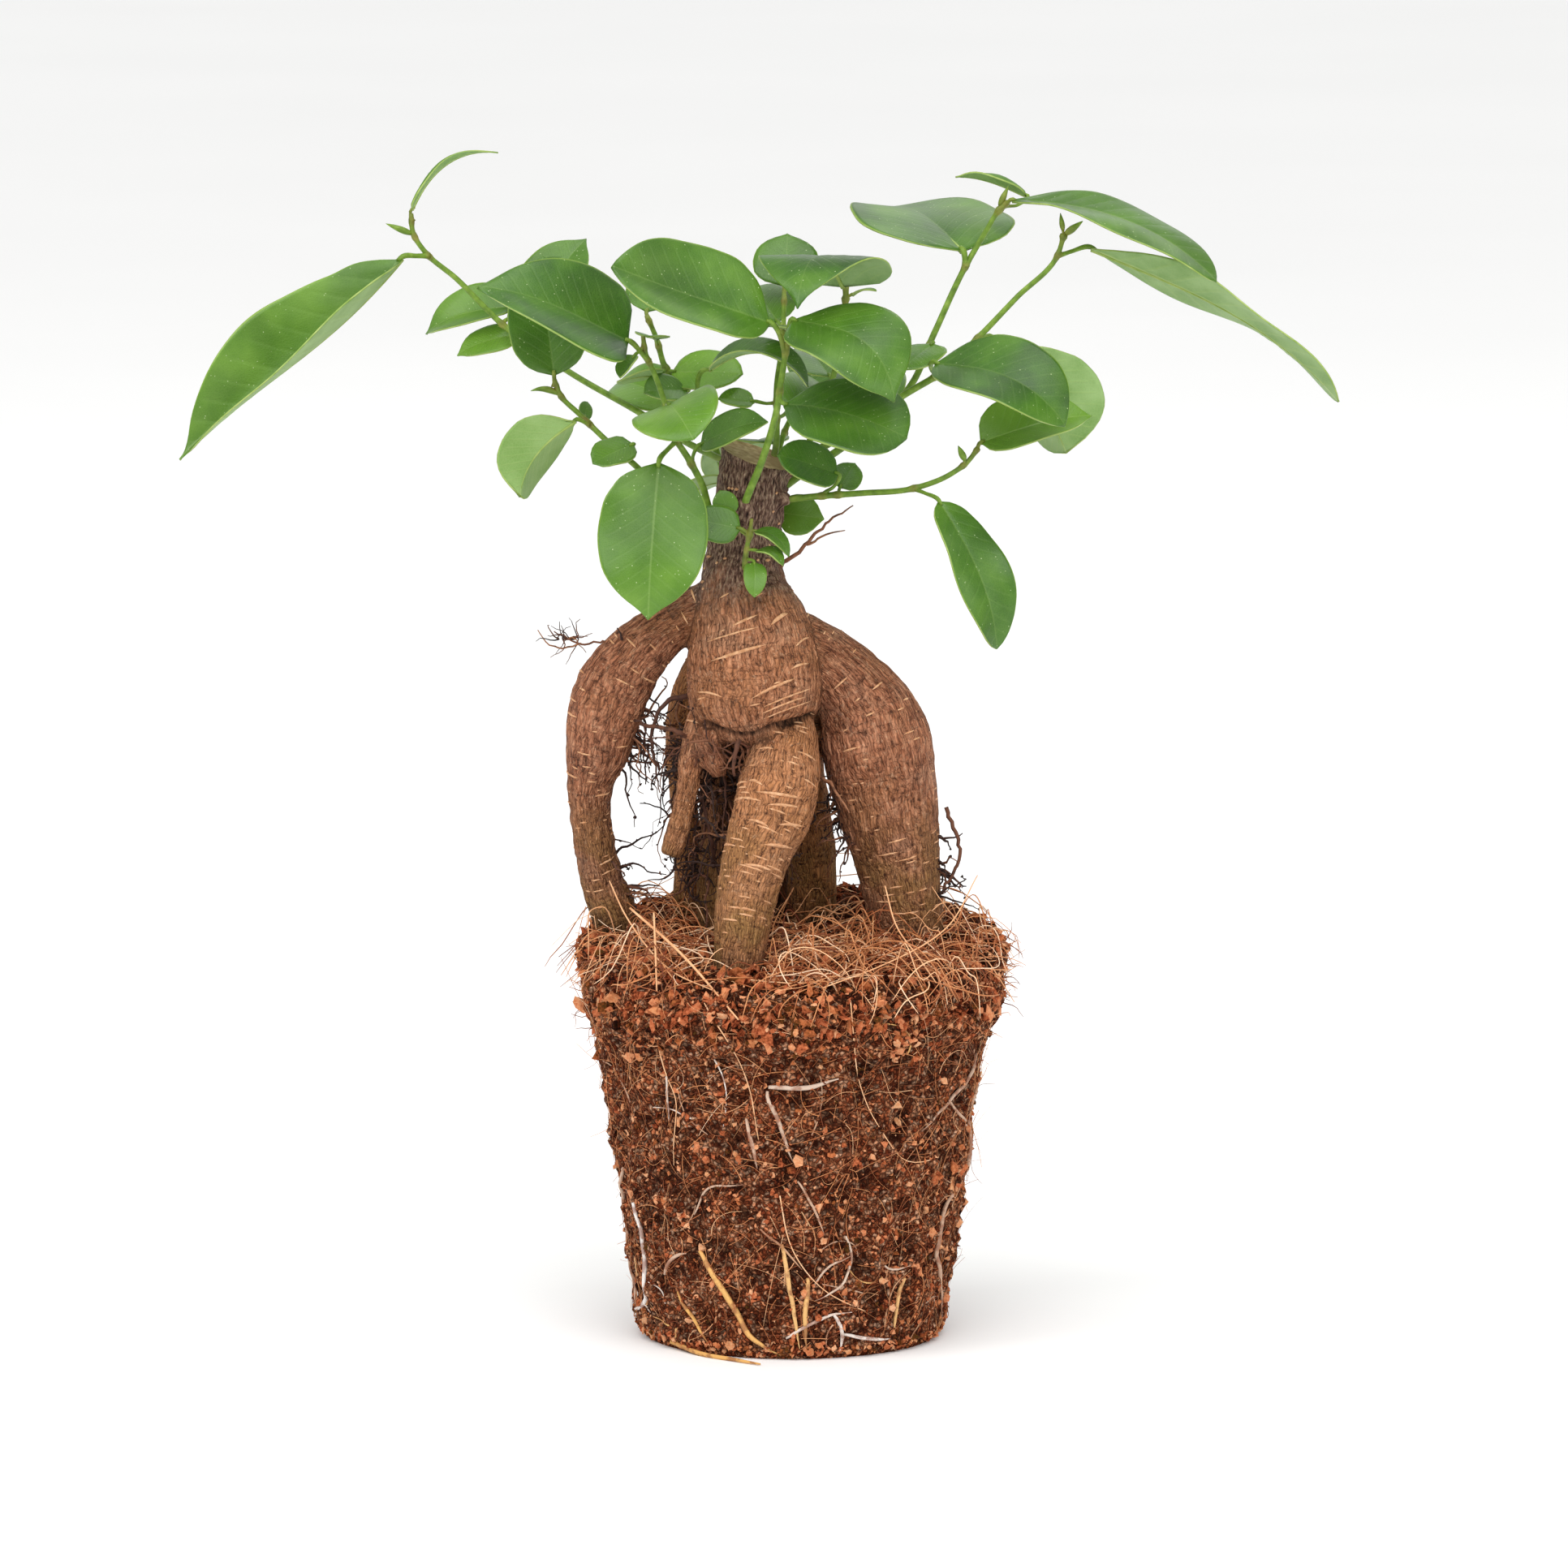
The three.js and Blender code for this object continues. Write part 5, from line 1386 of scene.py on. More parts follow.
# Where hairs are thick: each tuft's middle and half sizes, how many hairs, their length and their pull down
TUFTS = [
    ((-14, 0, 146), (9, 9, 18), 210, 22, 0.20),
    ((-33, -3, 153), (4, 5, 11), 70, 15, 0.18),
    ((-24, -6, 154), (7, 6, 7), 70, 12, 0.10),
    ((10, -4, 136), (4, 5, 10), 34, 10, 0.15),
    ((-14, 6, 124), (7, 6, 10), 60, 14, 0.10),
    ((-32, 4, 124), (9, 5, 8), 40, 13, 0.10),
    ((40, -2, 124), (3, 3, 9), 14, 12, 0.12),
    ((16, -4, 150), (5, 4, 8), 16, 9, 0.10),
    ((-40, -2, 181), (4, 4, 4), 5, 6, 0.0),
]
STEP = 1.5  # of a wandering thread
STRAND_TANGLE, KNOB_THREADS = 15, 26  # threads at the end of the long strands, and round the broken knob


def wander(start, heading, length, pull, rng, thick):
    """A crooked thread from `start`"""
    steps = max(5, int(length / STEP))
    place, path = np.array(start, float), []
    for i in range(steps):
        path.append((*place, thick * (1 - 0.75 * i / steps)))
        heading = unit(heading + rng.normal(0, 0.38, 3) + (0, 0, -pull))
        place = place + heading * STEP
    return path


def hairs(tuft, skin, rng):
    """Hairs that start on the bark inside a tuft and wander through it"""
    middle, reach, count, length, pull = tuft
    made = []
    for _ in range(count):
        spot = np.array(middle) + rng.normal(0, 0.6, 3) * reach
        found = skin.find_nearest(Vector(spot))
        start, out = np.array(found[0]), np.array(found[1])
        towards = unit(spot - start + rng.normal(0, 1.5, 3))
        size, thick = length * rng.uniform(0.5, 1.4), rng.uniform(0.18, 0.5)
        made.append(wander(start - out * 0.3, unit(towards + 0.4 * out), size, pull, rng, thick))
    return made


print("strands placed by eye:", len(ROOTLETS), "hairs in tufts:", sum(tuft[2] for tuft in TUFTS))


# %% Grow the dead roots and hairs
hair_rng = np.random.default_rng(5)
hair_paths = [smooth_path(stations, 1.2) for stations in ROOTLETS]
for path in hair_paths:
    path[:, :3] += hair_rng.normal(0, 0.22, (len(path), 3))
hair_paths += [path for tuft in TUFTS for path in hairs(tuft, bark_surface, hair_rng)]
for i in range(STRAND_TANGLE):
    heading = unit(hair_rng.normal(0, 1, 3))
    hair_paths.append(wander((-60 + i % 6, -1, 182), heading, 9, 0.0, hair_rng, 0.22))
hair_tints = np.r_[hair_rng.uniform(0.6, 1, len(ROOTLETS)),
                   hair_rng.uniform(0.1, 1, len(hair_paths) - len(ROOTLETS))]
for _ in range(KNOB_THREADS):
    start = hair_rng.uniform((-27, -17, 150), (-9, -13, 159))
    heading = unit(hair_rng.normal(0, 1, 3) + (-0.3, -0.4, 0))
    hair_paths.append(wander(start, heading, 11, 0.12, hair_rng, 0.4))
    hair_tints = np.append(hair_tints, hair_rng.uniform(0.75, 1))
dead, counts = threads("dead_roots", hair_paths)
paint(dead, "tint", np.repeat(hair_tints, counts))
settle(dead, [DEAD_ROOT])

# %% [markdown]
# ## The root ball
# The ball has kept its pot's shape, so it is turned like a pot: a grid is rolled round the profile, and
# its seam and poles are welded. The slow lumps are the part's own formula. Displace modifiers with cell
# and cloud textures then raise the crumbs, and the deeper a point was left, the nearer black its colour
# is painted, as painted shade in the hollows. The top of the soil is painted darker too, as shade under
# the fibres.

# %% The profile and the slow lumps
SOIL_TOP = 104
COLLAR_HEIGHT = 84
# How finely the ball is divided: round it, and in rows along its base, its side and its top
BED_SIDES = 368
BASE_ROWS, SIDE_ROWS, TOP_ROWS = 10, 122, 62
# The profile, as distances from the axis and heights
BED_BASE = [(0, 0), (37.5, 0)]
BED_SIDE = [(37.5, 0), (40, 2.5), (50.5, 79), (54, 84), (55, 93), (56, 100), (54.3, 104)]
BED_TOP = [(54.3, 104), (0, 104)]


def even_rows(profile, count):
    """Points at equal steps along a profile"""
    profile = np.array(profile, float)
    run = np.concatenate([[0], np.cumsum(np.linalg.norm(np.diff(profile, axis=0), axis=1))])
    at = np.linspace(0, run[-1], count + 1)
    return np.stack([np.interp(at, run, profile[:, i]) for i in range(2)], axis=1)


def lumps_of(x, y, z):
    """The slow lumps of the coir, the same formula as the part's"""
    return (
        0.5 * np.sin(0.61 * x + 1.3 * np.sin(0.35 * z))
        + 0.45 * np.sin(0.83 * y + 0.27 * z + 1.7 * np.sin(0.3 * x))
        + 0.35 * np.sin(0.97 * z + 0.4 * x - 0.5 * y)
    )


print("rows from the foot to the middle of the soil:", BASE_ROWS + SIDE_ROWS + TOP_ROWS)


# %% Roll a grid into the ball
rows = np.concatenate([
    even_rows(BED_BASE, BASE_ROWS)[:-1], even_rows(BED_SIDE, SIDE_ROWS)[:-1], even_rows(BED_TOP, TOP_ROWS),
])
bpy.ops.object.select_all(action="DESELECT")
bpy.ops.mesh.primitive_grid_add(x_subdivisions=BED_SIDES, y_subdivisions=len(rows) - 1, size=2 * MM)
bed = bpy.context.object
bed.name = "coir_bed"
flat = points_of(bed)
round_angle = (flat[:, 0] + 1) * math.pi
profile = rows[np.rint((flat[:, 1] + 1) / 2 * (len(rows) - 1)).astype(int)]
x, y, z = profile[:, 0] * np.cos(round_angle), profile[:, 0] * np.sin(round_angle), profile[:, 1]
rise = np.clip((z - 1) / 6, 0, 1)
swell = 1 + rise * lumps_of(x, y, z) / np.maximum(profile[:, 0], 1) * (profile[:, 0] > 1)
raised = np.clip((z - COLLAR_HEIGHT) / (SOIL_TOP - COLLAR_HEIGHT), 0, 1)
on_top = ramp(z, 102.5, 104)
tall = z + raised * SOIL_SLOPE * y + on_top * lumps_of(y, x, profile[:, 0])
place_points(bed, np.stack([x * swell, y * swell, tall], axis=1))
with editing(bed):
    bpy.ops.mesh.remove_doubles(threshold=0.01 * MM)
    bpy.ops.mesh.normals_make_consistent(inside=False)
print("rolled bed:", triangles(bed), "triangles")


# %% Raise the crumbs of the bed
def coir_texture(name, kind, size, **settings):
    """A texture for a Displace modifier, its grain given in millimetres"""
    texture = bpy.data.textures.new(name, kind)
    texture.noise_scale = size * MM
    for key, value in settings.items():
        setattr(texture, key, value)
    return texture


smooth_bed, outwards = points_of(bed), normals_of(bed)
raised_group = bed.vertex_groups.new(name="raised")
rising = np.clip(smooth_bed[:, 2] / 1.6, 0, 1)  # the foot of the ball stays flat
for share in (0.25, 0.5, 0.75, 1.0):
    chosen = np.flatnonzero((rising > share - 0.25) & (rising <= share)).tolist()
    raised_group.add(chosen, share, "REPLACE")
CELLS = {"weight_1": -1.0, "weight_2": 1.0}
# Each texture with how far it raises the bed and the level that stays where it is
RELIEFS = [
    (coir_texture("husk_lumps", "CLOUDS", 6, noise_depth=2), 1.8, 0.5),
    (coir_texture("crumb_cells", "VORONOI", 2.2, **CELLS), 1.5, 0.3),
    (coir_texture("small_cells", "VORONOI", 1.3, **CELLS), 1.1, 0.3),
    (coir_texture("dust", "CLOUDS", 1.2, noise_depth=1), 0.8, 0.5),
]
for texture, strength, level in RELIEFS:
    modify(bed, "DISPLACE", texture=texture, texture_coords="LOCAL", strength=strength * MM,
           mid_level=level, vertex_group="raised")
settled = points_of(bed)
settled[:, 2] = np.maximum(settled[:, 2], 0)
place_points(bed, settled)
pushed = ((settled - smooth_bed) * outwards).sum(1)
# Painted shade: points left deep in the hollows are darkened, and the top of the soil is darkened as shade
# under the fibres
on_soil = 0.5 * ramp(settled[:, 2] - SOIL_SLOPE * settled[:, 1], 100, 103)
paint(bed, "sunk", np.clip(1 - ramp(pushed, -1.0, -0.1) + on_soil, 0, 1))
smooth(bed)
settle(bed, [COIR_BED], "root_ball")
print("relief from", pushed.min().round(2), "to", pushed.max().round(2), "mm")

# %% [markdown]
# ## Loose crumbs
# One crumb is an icosphere of 20 faces with its corners pulled about, in a few shapes. Thousands of copies
# are turned, squashed and laid on the bed, most of them half sunk. Larger, flatter chips of husk lie on top
# near the front and in a band below the rim, and specks of soil cling to the dead roots.


# %% One crumb, many times
LONGEST_CORNER = 1.55  # of a crumb, against its half size
SIDE_CRUMBS, TOP_CRUMBS = 6000, 2200
TOP_CHIPS, RIM_CHIPS = 260, 330
SOIL_RADIUS = 55


def crumb_shapes(count, rng):
    """A few crumbs of 20 faces, each a roughened icosphere"""
    shapes = []
    for _ in range(count):
        bpy.ops.object.select_all(action="DESELECT")
        bpy.ops.mesh.primitive_ico_sphere_add(subdivisions=1, radius=MM)
        ball = bpy.context.object
        corners = points_of(ball) * rng.uniform(0.32, LONGEST_CORNER, (12, 1))
        faces = np.array([face.vertices[:] for face in ball.data.polygons])
        shapes.append(corners)
        bpy.data.objects.remove(ball)
    return np.array(shapes), faces


def turns(count, rng):
    """As many random turnings, each a 3 by 3 matrix"""
    q = unit(rng.normal(0, 1, (count, 4)))
    w, x, y, z = q.T
    return np.stack([
        np.stack([1 - 2 * (y * y + z * z), 2 * (x * y - z * w), 2 * (x * z + y * w)], 1),
        np.stack([2 * (x * y + z * w), 1 - 2 * (x * x + z * z), 2 * (y * z - x * w)], 1),
        np.stack([2 * (x * z - y * w), 2 * (y * z + x * w), 1 - 2 * (x * x + y * y)], 1),
    ], 1)


def scatter(name, centres, sizes, rng):
    """A crumb at each centre, with half sizes of its own in three directions"""
    shapes, faces = crumb_shapes(6, rng)
    corners = shapes[rng.integers(0, len(shapes), len(centres))] * sizes[:, None, :]
    corners = np.einsum("nij,nkj->nki", turns(len(centres), rng), corners) + centres[:, None, :]
    ring = corners.shape[1]
    all_faces = (faces[None] + (np.arange(len(centres)) * ring)[:, None, None]).reshape(-1, 3)
    mesh = bpy.data.meshes.new(name)
    mesh.from_pydata((corners.reshape(-1, 3) * MM).tolist(), [], all_faces.tolist())
    return linked(name, mesh), ring


def bed_spots(count, rng, low=1.5, high=104.0):
    """Random places on the sides of the bed, as angle and height"""
    return rng.uniform(0, 2 * math.pi, count), rng.uniform(low, high, count)


print("crumbs to lay on the sides and on top:", SIDE_CRUMBS, "and", TOP_CRUMBS)


# %% Places on the bed
bed_surface = surface(bed)


def side_point(angle, height, stand=0.0):
    """The bed's surface at an angle and height, and `stand` millimetres outside it"""
    out = np.array([math.cos(angle), math.sin(angle), 0])
    start = out * 80 + (0, 0, height)
    hit = bed_surface.ray_cast(Vector(start), Vector(-out), 80)[0]
    return None if hit is None else np.array(hit) + out * stand


def top_point(x, y, stand=0.0):
    """The soil's surface over a place, and `stand` millimetres above it"""
    hit = bed_surface.ray_cast(Vector((x, y, 140)), Vector((0, 0, -1)), 120)[0]
    return None if hit is None else np.array(hit) + (0, 0, stand)


print("the soil's height in the middle:", top_point(0, 0)[2].round(1), "mm")


# %% Lay the crumbs
crumb_rng = np.random.default_rng(31)
spots = [side_point(a, h, -0.15) for a, h in zip(*bed_spots(SIDE_CRUMBS, crumb_rng))]
discs = [
    (crumb_rng.uniform(0, 1) ** 0.5 * SOIL_RADIUS, crumb_rng.uniform(0, 6.283)) for _ in range(TOP_CRUMBS)
]
spots += [top_point(r * math.cos(a), r * math.sin(a), 0.1) for r, a in discs]
# The soil's corner has crumbled all round, and the base is ragged
for low, high, count, out in [(86, 103, 900, 0.7), (0.3, 3.5, 700, 0.6)]:
    ragged = zip(*bed_spots(count, crumb_rng, low, high))
    spots += [side_point(a, h, crumb_rng.uniform(-0.2, out)) for a, h in ragged]
spots = np.array([spot for spot in spots if spot is not None])
size = np.clip(crumb_rng.lognormal(-0.62, 0.42, len(spots)), 0.26, 1.7)[:, None]
size = size * crumb_rng.uniform(0.45, 1.35, (len(spots), 3))
spots[:, 2] = np.maximum(spots[:, 2], LONGEST_CORNER * size.max(1))
crumbs, ring = scatter("coir_crumbs", spots, size, crumb_rng)
# Crumbs on top of the soil get darker tints, as painted shade under the fibre tangle
tints = crumb_rng.beta(0.95, 0.95, len(spots)) * np.where(spots[:, 2] > 105, 0.65, 1)
paint(crumbs, "tint", np.repeat(tints, ring))
settle(crumbs, [COIR_CRUMB])

# %% Chips of husk on top and below the front rim
chip_rng = np.random.default_rng(37)
chip_spots = []
for _ in range(TOP_CHIPS):
    r, a = chip_rng.uniform(0.45, 0.99) * SOIL_RADIUS, chip_rng.normal(-1.75, 0.95)
    chip_spots.append(top_point(r * math.cos(a), r * math.sin(a), chip_rng.uniform(0.3, 1.8)))
for _ in range(RIM_CHIPS):
    angle, height = chip_rng.normal(-math.pi / 2, 0.6), chip_rng.normal(92, 4)
    chip_spots.append(side_point(angle, height, chip_rng.uniform(-0.5, 0.7)))
chip_spots = np.array([spot for spot in chip_spots if spot is not None])
chip_sizes = chip_rng.uniform(0.35, 1, (len(chip_spots), 1)) ** 1.4 * np.array([[2.6, 1.7, 0.9]])
chips, ring = scatter("husk_chips", chip_spots, chip_sizes, chip_rng)
paint(chips, "tint", np.repeat(chip_rng.beta(1.4, 2.0, len(chip_spots)), ring))
settle(chips, [COIR_CRUMB])

# %% Soil that clings to the hairs of the tufts
tuft_hairs = hair_paths[len(ROOTLETS) : -(STRAND_TANGLE + KNOB_THREADS)]
cling = np.array([path[i][:3] for path in tuft_hairs for i in range(1, len(path), 4)])
cling += chip_rng.normal(0, 0.15, cling.shape)
clods, ring = scatter("clinging_soil", cling, chip_rng.uniform(0.18, 0.55, (len(cling), 3)), chip_rng)
paint(clods, "tint", np.repeat(chip_rng.beta(1.2, 2.5, len(cling)), ring))
settle(clods, [DEAD_ROOT])

# %% [markdown]
# ## Coir fibres
# Over the top the fibres lie in loose arcs that dive in and out of the soil, thickest at the front right,
# and some stray past the rim. A few thick straws lean over the front, placed one by one. On the sides the
# fibres are pressed flat against the pot that is no longer there.


# %% A fibre over the soil
THINNEST, THICKEST = 0.08, 0.21  # the radius of a fibre
TOP_FIBRES, SIDE_FIBRES, STRAY_ENDS = 720, 1900, 240
RIM = 54  # fibres past this radius sag


def top_fibre(x, y, heading, length, rise, rng):
    """A fibre that arches over the soil, one end or both sunk in it"""
    share = np.linspace(-1, 1, 15)
    curl, tilt = rng.normal(0, 0.34), rng.normal(0, 1.5)
    swing = length * rng.normal(0, 0.06) * np.sin(rng.uniform(2, 5) * share + rng.uniform(0, 6))
    along, aside = length / 2 * share, swing + curl * length * 0.2 * share**2
    wave = rise * rng.normal(0, 0.25) * np.sin(rng.uniform(3, 7) * share + rng.uniform(0, 6))
    across = x + np.cos(heading + curl * share) * along - math.sin(heading) * aside
    ahead = y + np.sin(heading + curl * share) * along + math.cos(heading) * aside
    radius = np.hypot(across, ahead)
    inside = np.minimum(1, RIM / np.maximum(radius, 1))
    found = [top_point(a, b) for a, b in zip(across * inside, ahead * inside)]
    if any(spot is None for spot in found):
        return None
    ground = np.array([spot[2] for spot in found])
    ground = np.convolve(np.pad(ground, 3, "edge"), np.ones(7) / 7, "valid")
    sag = 0.6 * np.maximum(0, radius - RIM)
    height = ground + rise * (1 - share**2) + wave - 0.8 * share**4 + tilt * share - sag
    return np.stack([across, ahead, height], axis=1)


print("a fibre is up to", 2 * THICKEST, "mm thick")


# %% Lay the tangle
# The thickest straws, which lean over the front of the rim
STRAWS = [
    [(-41.5, -22, 115, 0.36), (-28, -39, 105.5, 0.44), (-13.5, -56.5, 91.5, 0.26)],
    [(-35.3, -30, 115, 0.26), (-34.8, -37, 106, 0.3), (-34.4, -45, 97, 0.2)],
    [(-47, -8, 120, 0.22), (-42, -22, 112, 0.24), (-30, -40, 101, 0.24), (-20, -50, 98, 0.18)],
    [(24, -30, 122, 0.2), (27, -34, 112, 0.24), (33, -38, 104, 0.24), (37, -44, 99, 0.18)],
    [(48, -12, 122, 0.16), (40, -28, 111, 0.22), (22, -44, 103, 0.22), (8, -52, 99, 0.18)],
]
fibre_rng = np.random.default_rng(41)
top_paths = []
# Half of the fibres lie at the front right, a third of the rest at the left and the others anywhere
for i in range(TOP_FIBRES):
    if i % 2 == 0:
        x, y = fibre_rng.uniform(-4, 54), fibre_rng.uniform(-50, 4)
    elif i % 6 == 1:
        x, y = fibre_rng.uniform(-54, -26), fibre_rng.uniform(-45, 20)
    else:
        r, a = math.sqrt(fibre_rng.uniform(0.02, 1)) * RIM, fibre_rng.uniform(0, 2 * math.pi)
        x, y = r * math.cos(a), r * math.sin(a)
    rise = fibre_rng.gamma(1.7, 2.4) + 0.3
    heading, length = fibre_rng.uniform(0, 2 * math.pi), fibre_rng.uniform(8, 40)
    path = top_fibre(x, y, heading, length, min(rise, 12), fibre_rng)
    if path is not None and max(math.hypot(p[0], p[1]) for p in path) < RIM + 10:
        thick = fibre_rng.uniform(THINNEST, THICKEST)
        top_paths.append([(*p, thick * (1 - 0.5 * (k / 7 - 1) ** 4)) for k, p in enumerate(path)])
tints = np.r_[fibre_rng.beta(1.2, 1.15, len(top_paths)), np.full(len(STRAWS), 0.75)]
top_paths += [smooth_path(spots, 2) for spots in STRAWS]
tangle, counts = threads("fibre_tangle", top_paths)
paint(tangle, "tint", np.repeat(tints, counts))
settle(tangle, [COIR_FIBRE])


# %% A fibre on the side
def pressed(path):
    """The path drawn straighter, so that it crosses the hollows between crumbs"""
    path = np.array(path)
    if len(path) < 4:
        return path
    for _ in range(2):
        path[1:-1] = (path[:-2] + path[1:-1] + path[2:]) / 3
    return path


def side_fibre(angle, height, slant, length, flare, rng, stand=0.4):
    """A fibre pressed against the side, whose end may stand off it"""
    path = []
    bend = rng.normal(0, 0.6)
    for share in np.linspace(0, 1, 10):
        way = slant + bend * share
        angle_now = angle + math.cos(way) * length * share / 50
        height_now = height + math.sin(way) * length * share
        if not 1 < height_now < 103:
            break
        spot = side_point(angle_now, height_now, stand + flare * share**3)
        if spot is None:
            break
        path.append(spot)
    return pressed(path)


FRONT_HEIGHTS, FRONT_RADII = (0, 79, 84, 104), (40, 50.5, 54, 56)


def on_front(across, up):
    """The angle and height on the bed of a point seen from the front"""
    radius = np.interp(up, FRONT_HEIGHTS, FRONT_RADII) + 0.3
    return -math.acos(np.clip(across / radius, -0.999, 0.999)), up


print("the middle of the front is at", round(math.degrees(on_front(0, 50)[0])), "degrees")


# %% Lay the side fibres and the stray ends
# The longest fibres at the front, as points across and up
LONG_FIBRES = [
    [(15, 96), (17.9, 73.4), (23.9, 59), (31.9, 50.3), (38.2, 51)],
    [(-22, 95), (-16, 85), (-11, 73), (-8.4, 59)],
    [(-3, 44), (0, 30), (8, 19), (20, 12)],
    [(-34, 80), (-30, 66), (-31, 50)],
]
side_paths = []
for _ in range(SIDE_FIBRES):
    angle, height = fibre_rng.uniform(0, 2 * math.pi), 104 * fibre_rng.uniform(0.02, 1) ** 0.8
    flare = fibre_rng.choice([0.0, 0.5, 2.0, 5.0], p=[0.5, 0.3, 0.15, 0.05])
    slant, length = fibre_rng.uniform(0, 2 * math.pi), fibre_rng.gamma(3, 3.6)
    path = side_fibre(angle, height, slant, length, flare, fibre_rng)
    if len(path) > 3:
        thick = fibre_rng.uniform(THINNEST, THICKEST) * 0.62
        side_paths.append([(*p, thick * (1 - 0.6 * i / len(path))) for i, p in enumerate(path)])
for _ in range(STRAY_ENDS):
    angle, height = fibre_rng.uniform(0, 2 * math.pi), fibre_rng.uniform(80, 104)
    start = side_point(angle, height, -0.5)
    if start is None:
        continue
    out = np.array([math.cos(angle), math.sin(angle), fibre_rng.normal(-0.1, 0.5)])
    heading = unit(out + fibre_rng.normal(0, 0.45, 3))
    side_paths.append(wander(start, heading, fibre_rng.uniform(4, 11), 0.03, fibre_rng, 0.15))
side_tints = fibre_rng.beta(1.4, 2.4, len(side_paths))
for spots in LONG_FIBRES:
    places = smooth_path([(across, up, 0, 0) for across, up in spots], 2.0)
    places = pressed([side_point(*on_front(across, up), 0.5) for across, up, _, _ in places])
    side_paths.append(np.c_[places, np.linspace(0.2, 0.12, len(places))])
    side_tints = np.append(side_tints, 0.85)
strays, counts = threads("side_fibres", side_paths)
paint(strays, "tint", np.repeat(side_tints, counts))
settle(strays, [COIR_FIBRE])
print("side fibres:", len(side_paths))

# %% [markdown]
# ## Living roots on the ball
# Pale living roots have grown down between the coir and the pot. The ones at the front were placed one by
# one from the photograph, as points across and up the picture, and each point is then put on the bed's own
# surface. The part's own pale roots run round the rest of the ball.

# %% Pale roots
# Points across and up the front of the ball, the tint from yellow at 0 to white at 1, and the radius
FRONT_ROOTS = [
    ([(-6, 73), (0, 72.5), (6, 73), (12, 75)], 0.85, 0.75),
    ([(-7, 72), (-4, 66), (-2, 60), (0, 53)], 0.8, 0.6),
    ([(-12, 64), (-10, 58), (-9, 51)], 0.75, 0.6),
    ([(-41, 37.5), (-39, 26), (-38, 14), (-41, 5)], 1.0, 0.75),
    ([(-24, 28), (-17, 17), (-10, 5.5), (-3, 1)], 0.15, 0.85),
    ([(-2.5, 31), (0, 17), (2, 3)], 0.3, 0.7),
    ([(4.6, 22), (3.6, 12), (3.6, 3)], 0.25, 0.75),
    ([(11.5, 12), (13.5, 5), (13, 2)], 0.95, 0.6),
    ([(13.5, 6.5), (20, 5), (26, 4)], 0.95, 0.55),
    ([(30, 20), (28, 12), (27, 5)], 0.3, 0.65),
    ([(-1, 6), (5, 10), (10.5, 12), (15, 12.5)], 0.9, 0.5),
    ([(-33, 20.5), (-30, 26), (-27, 27)], 0.75, 0.55),
    ([(2, 48), (6, 40), (9, 33)], 0.7, 0.4),
    ([(-25.5, 38), (-22, 45), (-13, 46.5)], 0.75, 0.35),
    ([(49, 75), (43, 67), (34.5, 59)], 0.75, 0.55),
    ([(41, 66), (44, 60), (47, 55)], 0.7, 0.45),
    ([(-32, 74), (-32.5, 68), (-32, 62)], 0.9, 0.35),
    ([(14, 33), (16, 26), (13, 20), (6, 16)], 0.85, 0.4),
    ([(24, 24), (28, 22), (31, 23)], 0.85, 0.35),
    ([(-8, 35), (-2, 30), (3, 24)], 0.6, 0.35),
    ([(-30, 16), (-26, 10), (-22, 3)], 0.1, 0.55),
    ([(6, 20), (9, 24), (16, 28)], 0.8, 0.35),
]
# Round the rest of the ball: the angle, the top and the lower end, how far the root turns and sways
BACK_ROOTS = [
    (10, 60, 6, 14, 5), (48, 70, 22, -18, 6), (84, 50, 3, 12, 4), (160, 64, 10, -10, 6),
    (120, 72, 30, 20, 8), (66, 34, 4, -14, 6), (140, 40, 12, 22, 5), (-10, 66, 20, 12, 6),
    (-168, 46, 4, -12, 5), (-30, 40, 5, 14, 5),
]


# One root has slipped out from under the ball and lies on the table
LYING_ROOT = [(-31, -24, 2, 0.6), (-23, -34, 0.7, 0.6), (-15, -41, 0.6, 0.5), (-8, -47, 0.5, 0.25)]
SHORT_ROOTS = 46


def pale_root(spots, thick, rng):
    """A root along angles and heights, half sunk in the bed"""
    path = smooth_path([(angle * 50, height, 0, thick) for angle, height in spots], 1.4)
    made = []
    for i, (angle, height, _, radius) in enumerate(path):
        taper = 1 - 0.6 * abs(2 * i / (len(path) - 1) - 0.8) ** 3
        crook = rng.normal(0, 0.22, 2)
        spot = side_point((angle + crook[0]) / 50, max(1.0, height + crook[1]), 0.35)
        made.append((*spot, radius * max(taper, 0.3) * 0.9))
    made = np.array(made)
    made[:, :3] = pressed(made[:, :3])
    return made


print("pale roots at the front:", len(FRONT_ROOTS), "and round the rest:", len(BACK_ROOTS))


# %% Lay the pale roots
root_rng = np.random.default_rng(53)
pale_paths = [
    pale_root([on_front(*spot) for spot in spots], thick, root_rng) for spots, _, thick in FRONT_ROOTS
]
pale_tints = [tint for _, tint, _ in FRONT_ROOTS]
shares = np.linspace(0, 1, 6)
for angle, top, low, turn, sway in BACK_ROOTS:
    angles = np.radians(angle + turn * shares + sway * np.sin(7 * shares + angle))
    pale_paths.append(pale_root(zip(angles, top + (low - top) * shares), 0.7, root_rng))
    pale_tints.append(root_rng.uniform(0.1, 0.9))
for _ in range(SHORT_ROOTS):
    angle, height = root_rng.uniform(0, 2 * math.pi), root_rng.uniform(4, 84)
    path = side_fibre(angle, height, root_rng.uniform(0, 6.28), root_rng.uniform(5, 20), 0.0, root_rng, 0.1)
    if len(path) > 3:
        pale_paths.append([(*p, 0.24 - 0.012 * i) for i, p in enumerate(path)])
        pale_tints.append(root_rng.uniform(0.2, 1))
pale_paths.append(smooth_path(LYING_ROOT))
pale_tints.append(0.1)
pale, counts = threads("pale_roots", pale_paths, roundness=1)
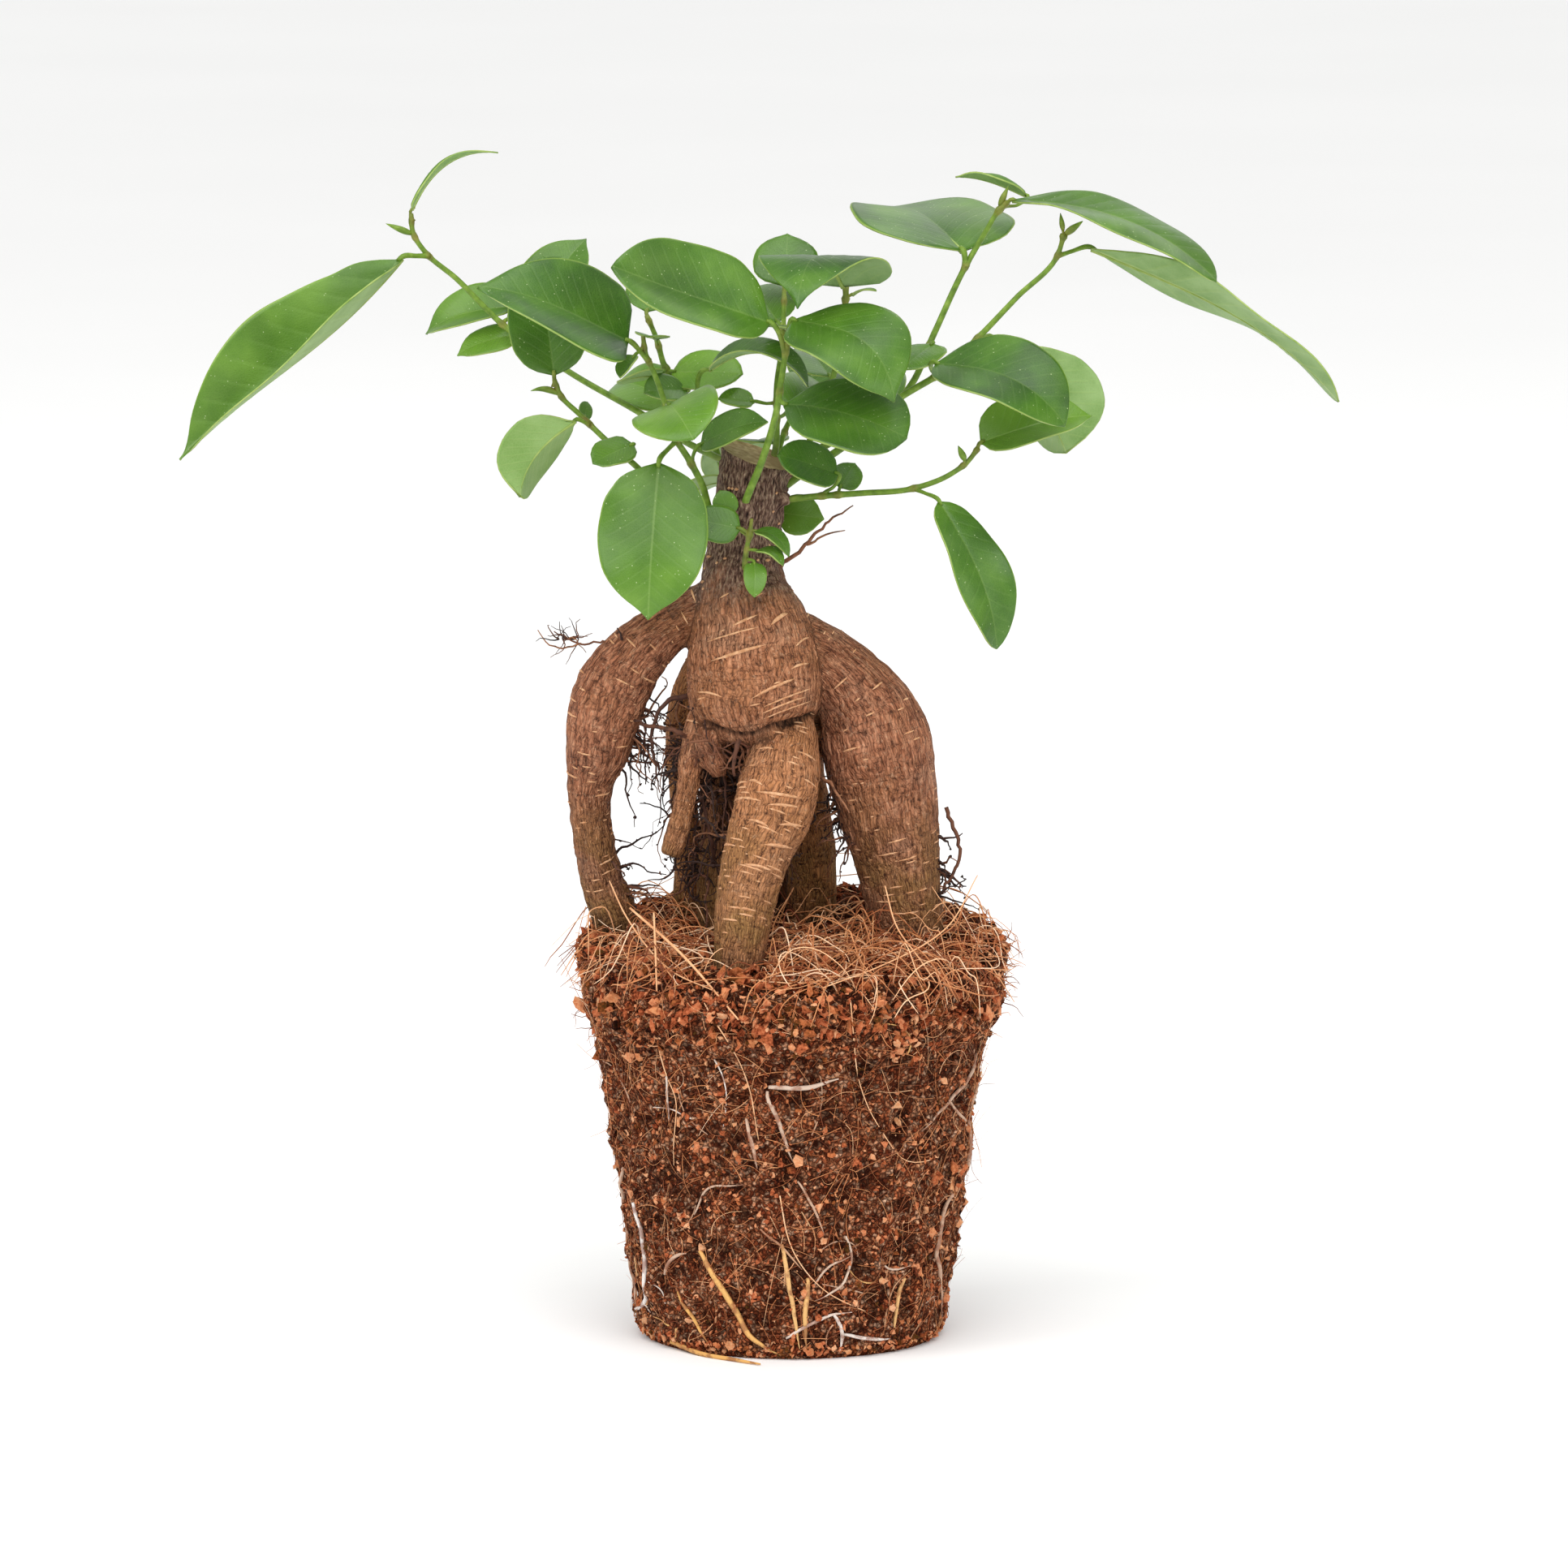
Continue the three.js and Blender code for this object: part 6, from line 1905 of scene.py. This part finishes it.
paint(pale, "tint", np.repeat(pale_tints, counts))
settle(pale, [LIVING_ROOT])
print("pale roots:", len(pale_paths))

# %% [markdown]
# ## Studio
# The photograph is a cut-out on white, lit softly from the front and from above. Here a white floor runs
# far back, a pale sky fills the shadows, a sun as wide as a third of the sky models the roots, and four
# large lamps give the leaves their sheen. The camera stands three metres off and looks down by eight
# degrees, which is how the soil and the leaves were seen.


# %% Floor and lamps
def floor_finish():
    finish = Finish("studio_floor", Roughness=0.9)
    cloud = finish.lumps(finish.place(), 3, 2.0)
    return finish.finish(finish.colours(cloud, (0.3, "fafaf9"), (0.7, "fcfcfb")))


AIM = (0, 0, 0.16)  # the middle of the plant, in metres
# Each lamp's place and width in metres, and its watts
LAMPS = {
    "key_lamp": ((-1.5, -0.8, 1.4), 1.2, 15),
    "side_lamp": ((1.6, -0.9, 0.8), 1.2, 6),
    "back_lamp": ((0.4, 1.7, 1.5), 1.3, 3),
    "top_lamp": ((0.1, -0.2, 2.3), 1.2, 8),
}


def lamp(name, place, size, watts):
    """A round lamp that faces the plant"""
    data = bpy.data.lights.new(name, "AREA")
    data.shape = "DISK"
    data.size = size
    data.energy = watts
    obj = linked(name, data)
    obj.location = place
    obj.rotation_euler = (Vector(AIM) - Vector(place)).to_track_quat("-Z", "Y").to_euler()


bpy.ops.object.select_all(action="DESELECT")
bpy.ops.mesh.primitive_circle_add(vertices=128, radius=14, fill_type="NGON")
floor = bpy.context.object
floor.name = "studio_floor"
floor.data.materials.append(floor_finish())

for name, (place, size, watts) in LAMPS.items():
    lamp(name, place, size, watts)
sun = linked("soft_sun", bpy.data.lights.new("soft_sun", "SUN"))
sun.data.energy = 2.0
sun.data.angle = math.radians(60)
sun.rotation_euler = (math.radians(44), 0, math.radians(4))
print("lamps:", list(LAMPS), "and", sun.name)

# %% Sky and camera
# The sky is brightest overhead and behind the plant, so the leaves that face the camera keep their green
world = bpy.data.worlds.new("studio_sky")
world.use_nodes = True
sky = Nodes(world.node_tree)
direction = sky.node("TexCoord", out="Generated")
rising = sky.node("VectorMath", {"operation": "DOT_PRODUCT"}, direction, (0, 0.85, 0.5), out="Value")
background = sky.tree.nodes["Background"]
sky.feed(background.inputs["Strength"], sky.node("MapRange", None, rising, 0.0, 1.0, 0.32, 0.72))
sky.feed(background.inputs["Color"], "ffffff")
bpy.context.scene.world = world
bpy.context.scene.view_settings.view_transform = "Standard"

camera_data = bpy.data.cameras.new("studio_camera")
camera_data.sensor_width = 36
camera_data.lens = 266.2
camera_data.clip_end = 60
camera = linked("studio_camera", camera_data)
camera.location = (-0.0019, -2.9708, 0.5618)
camera.rotation_euler = (math.radians(82), 0, 0)
bpy.context.scene.camera = camera
print("camera", round(camera.location.length, 2), "m from the origin, lens", camera_data.lens, "mm")
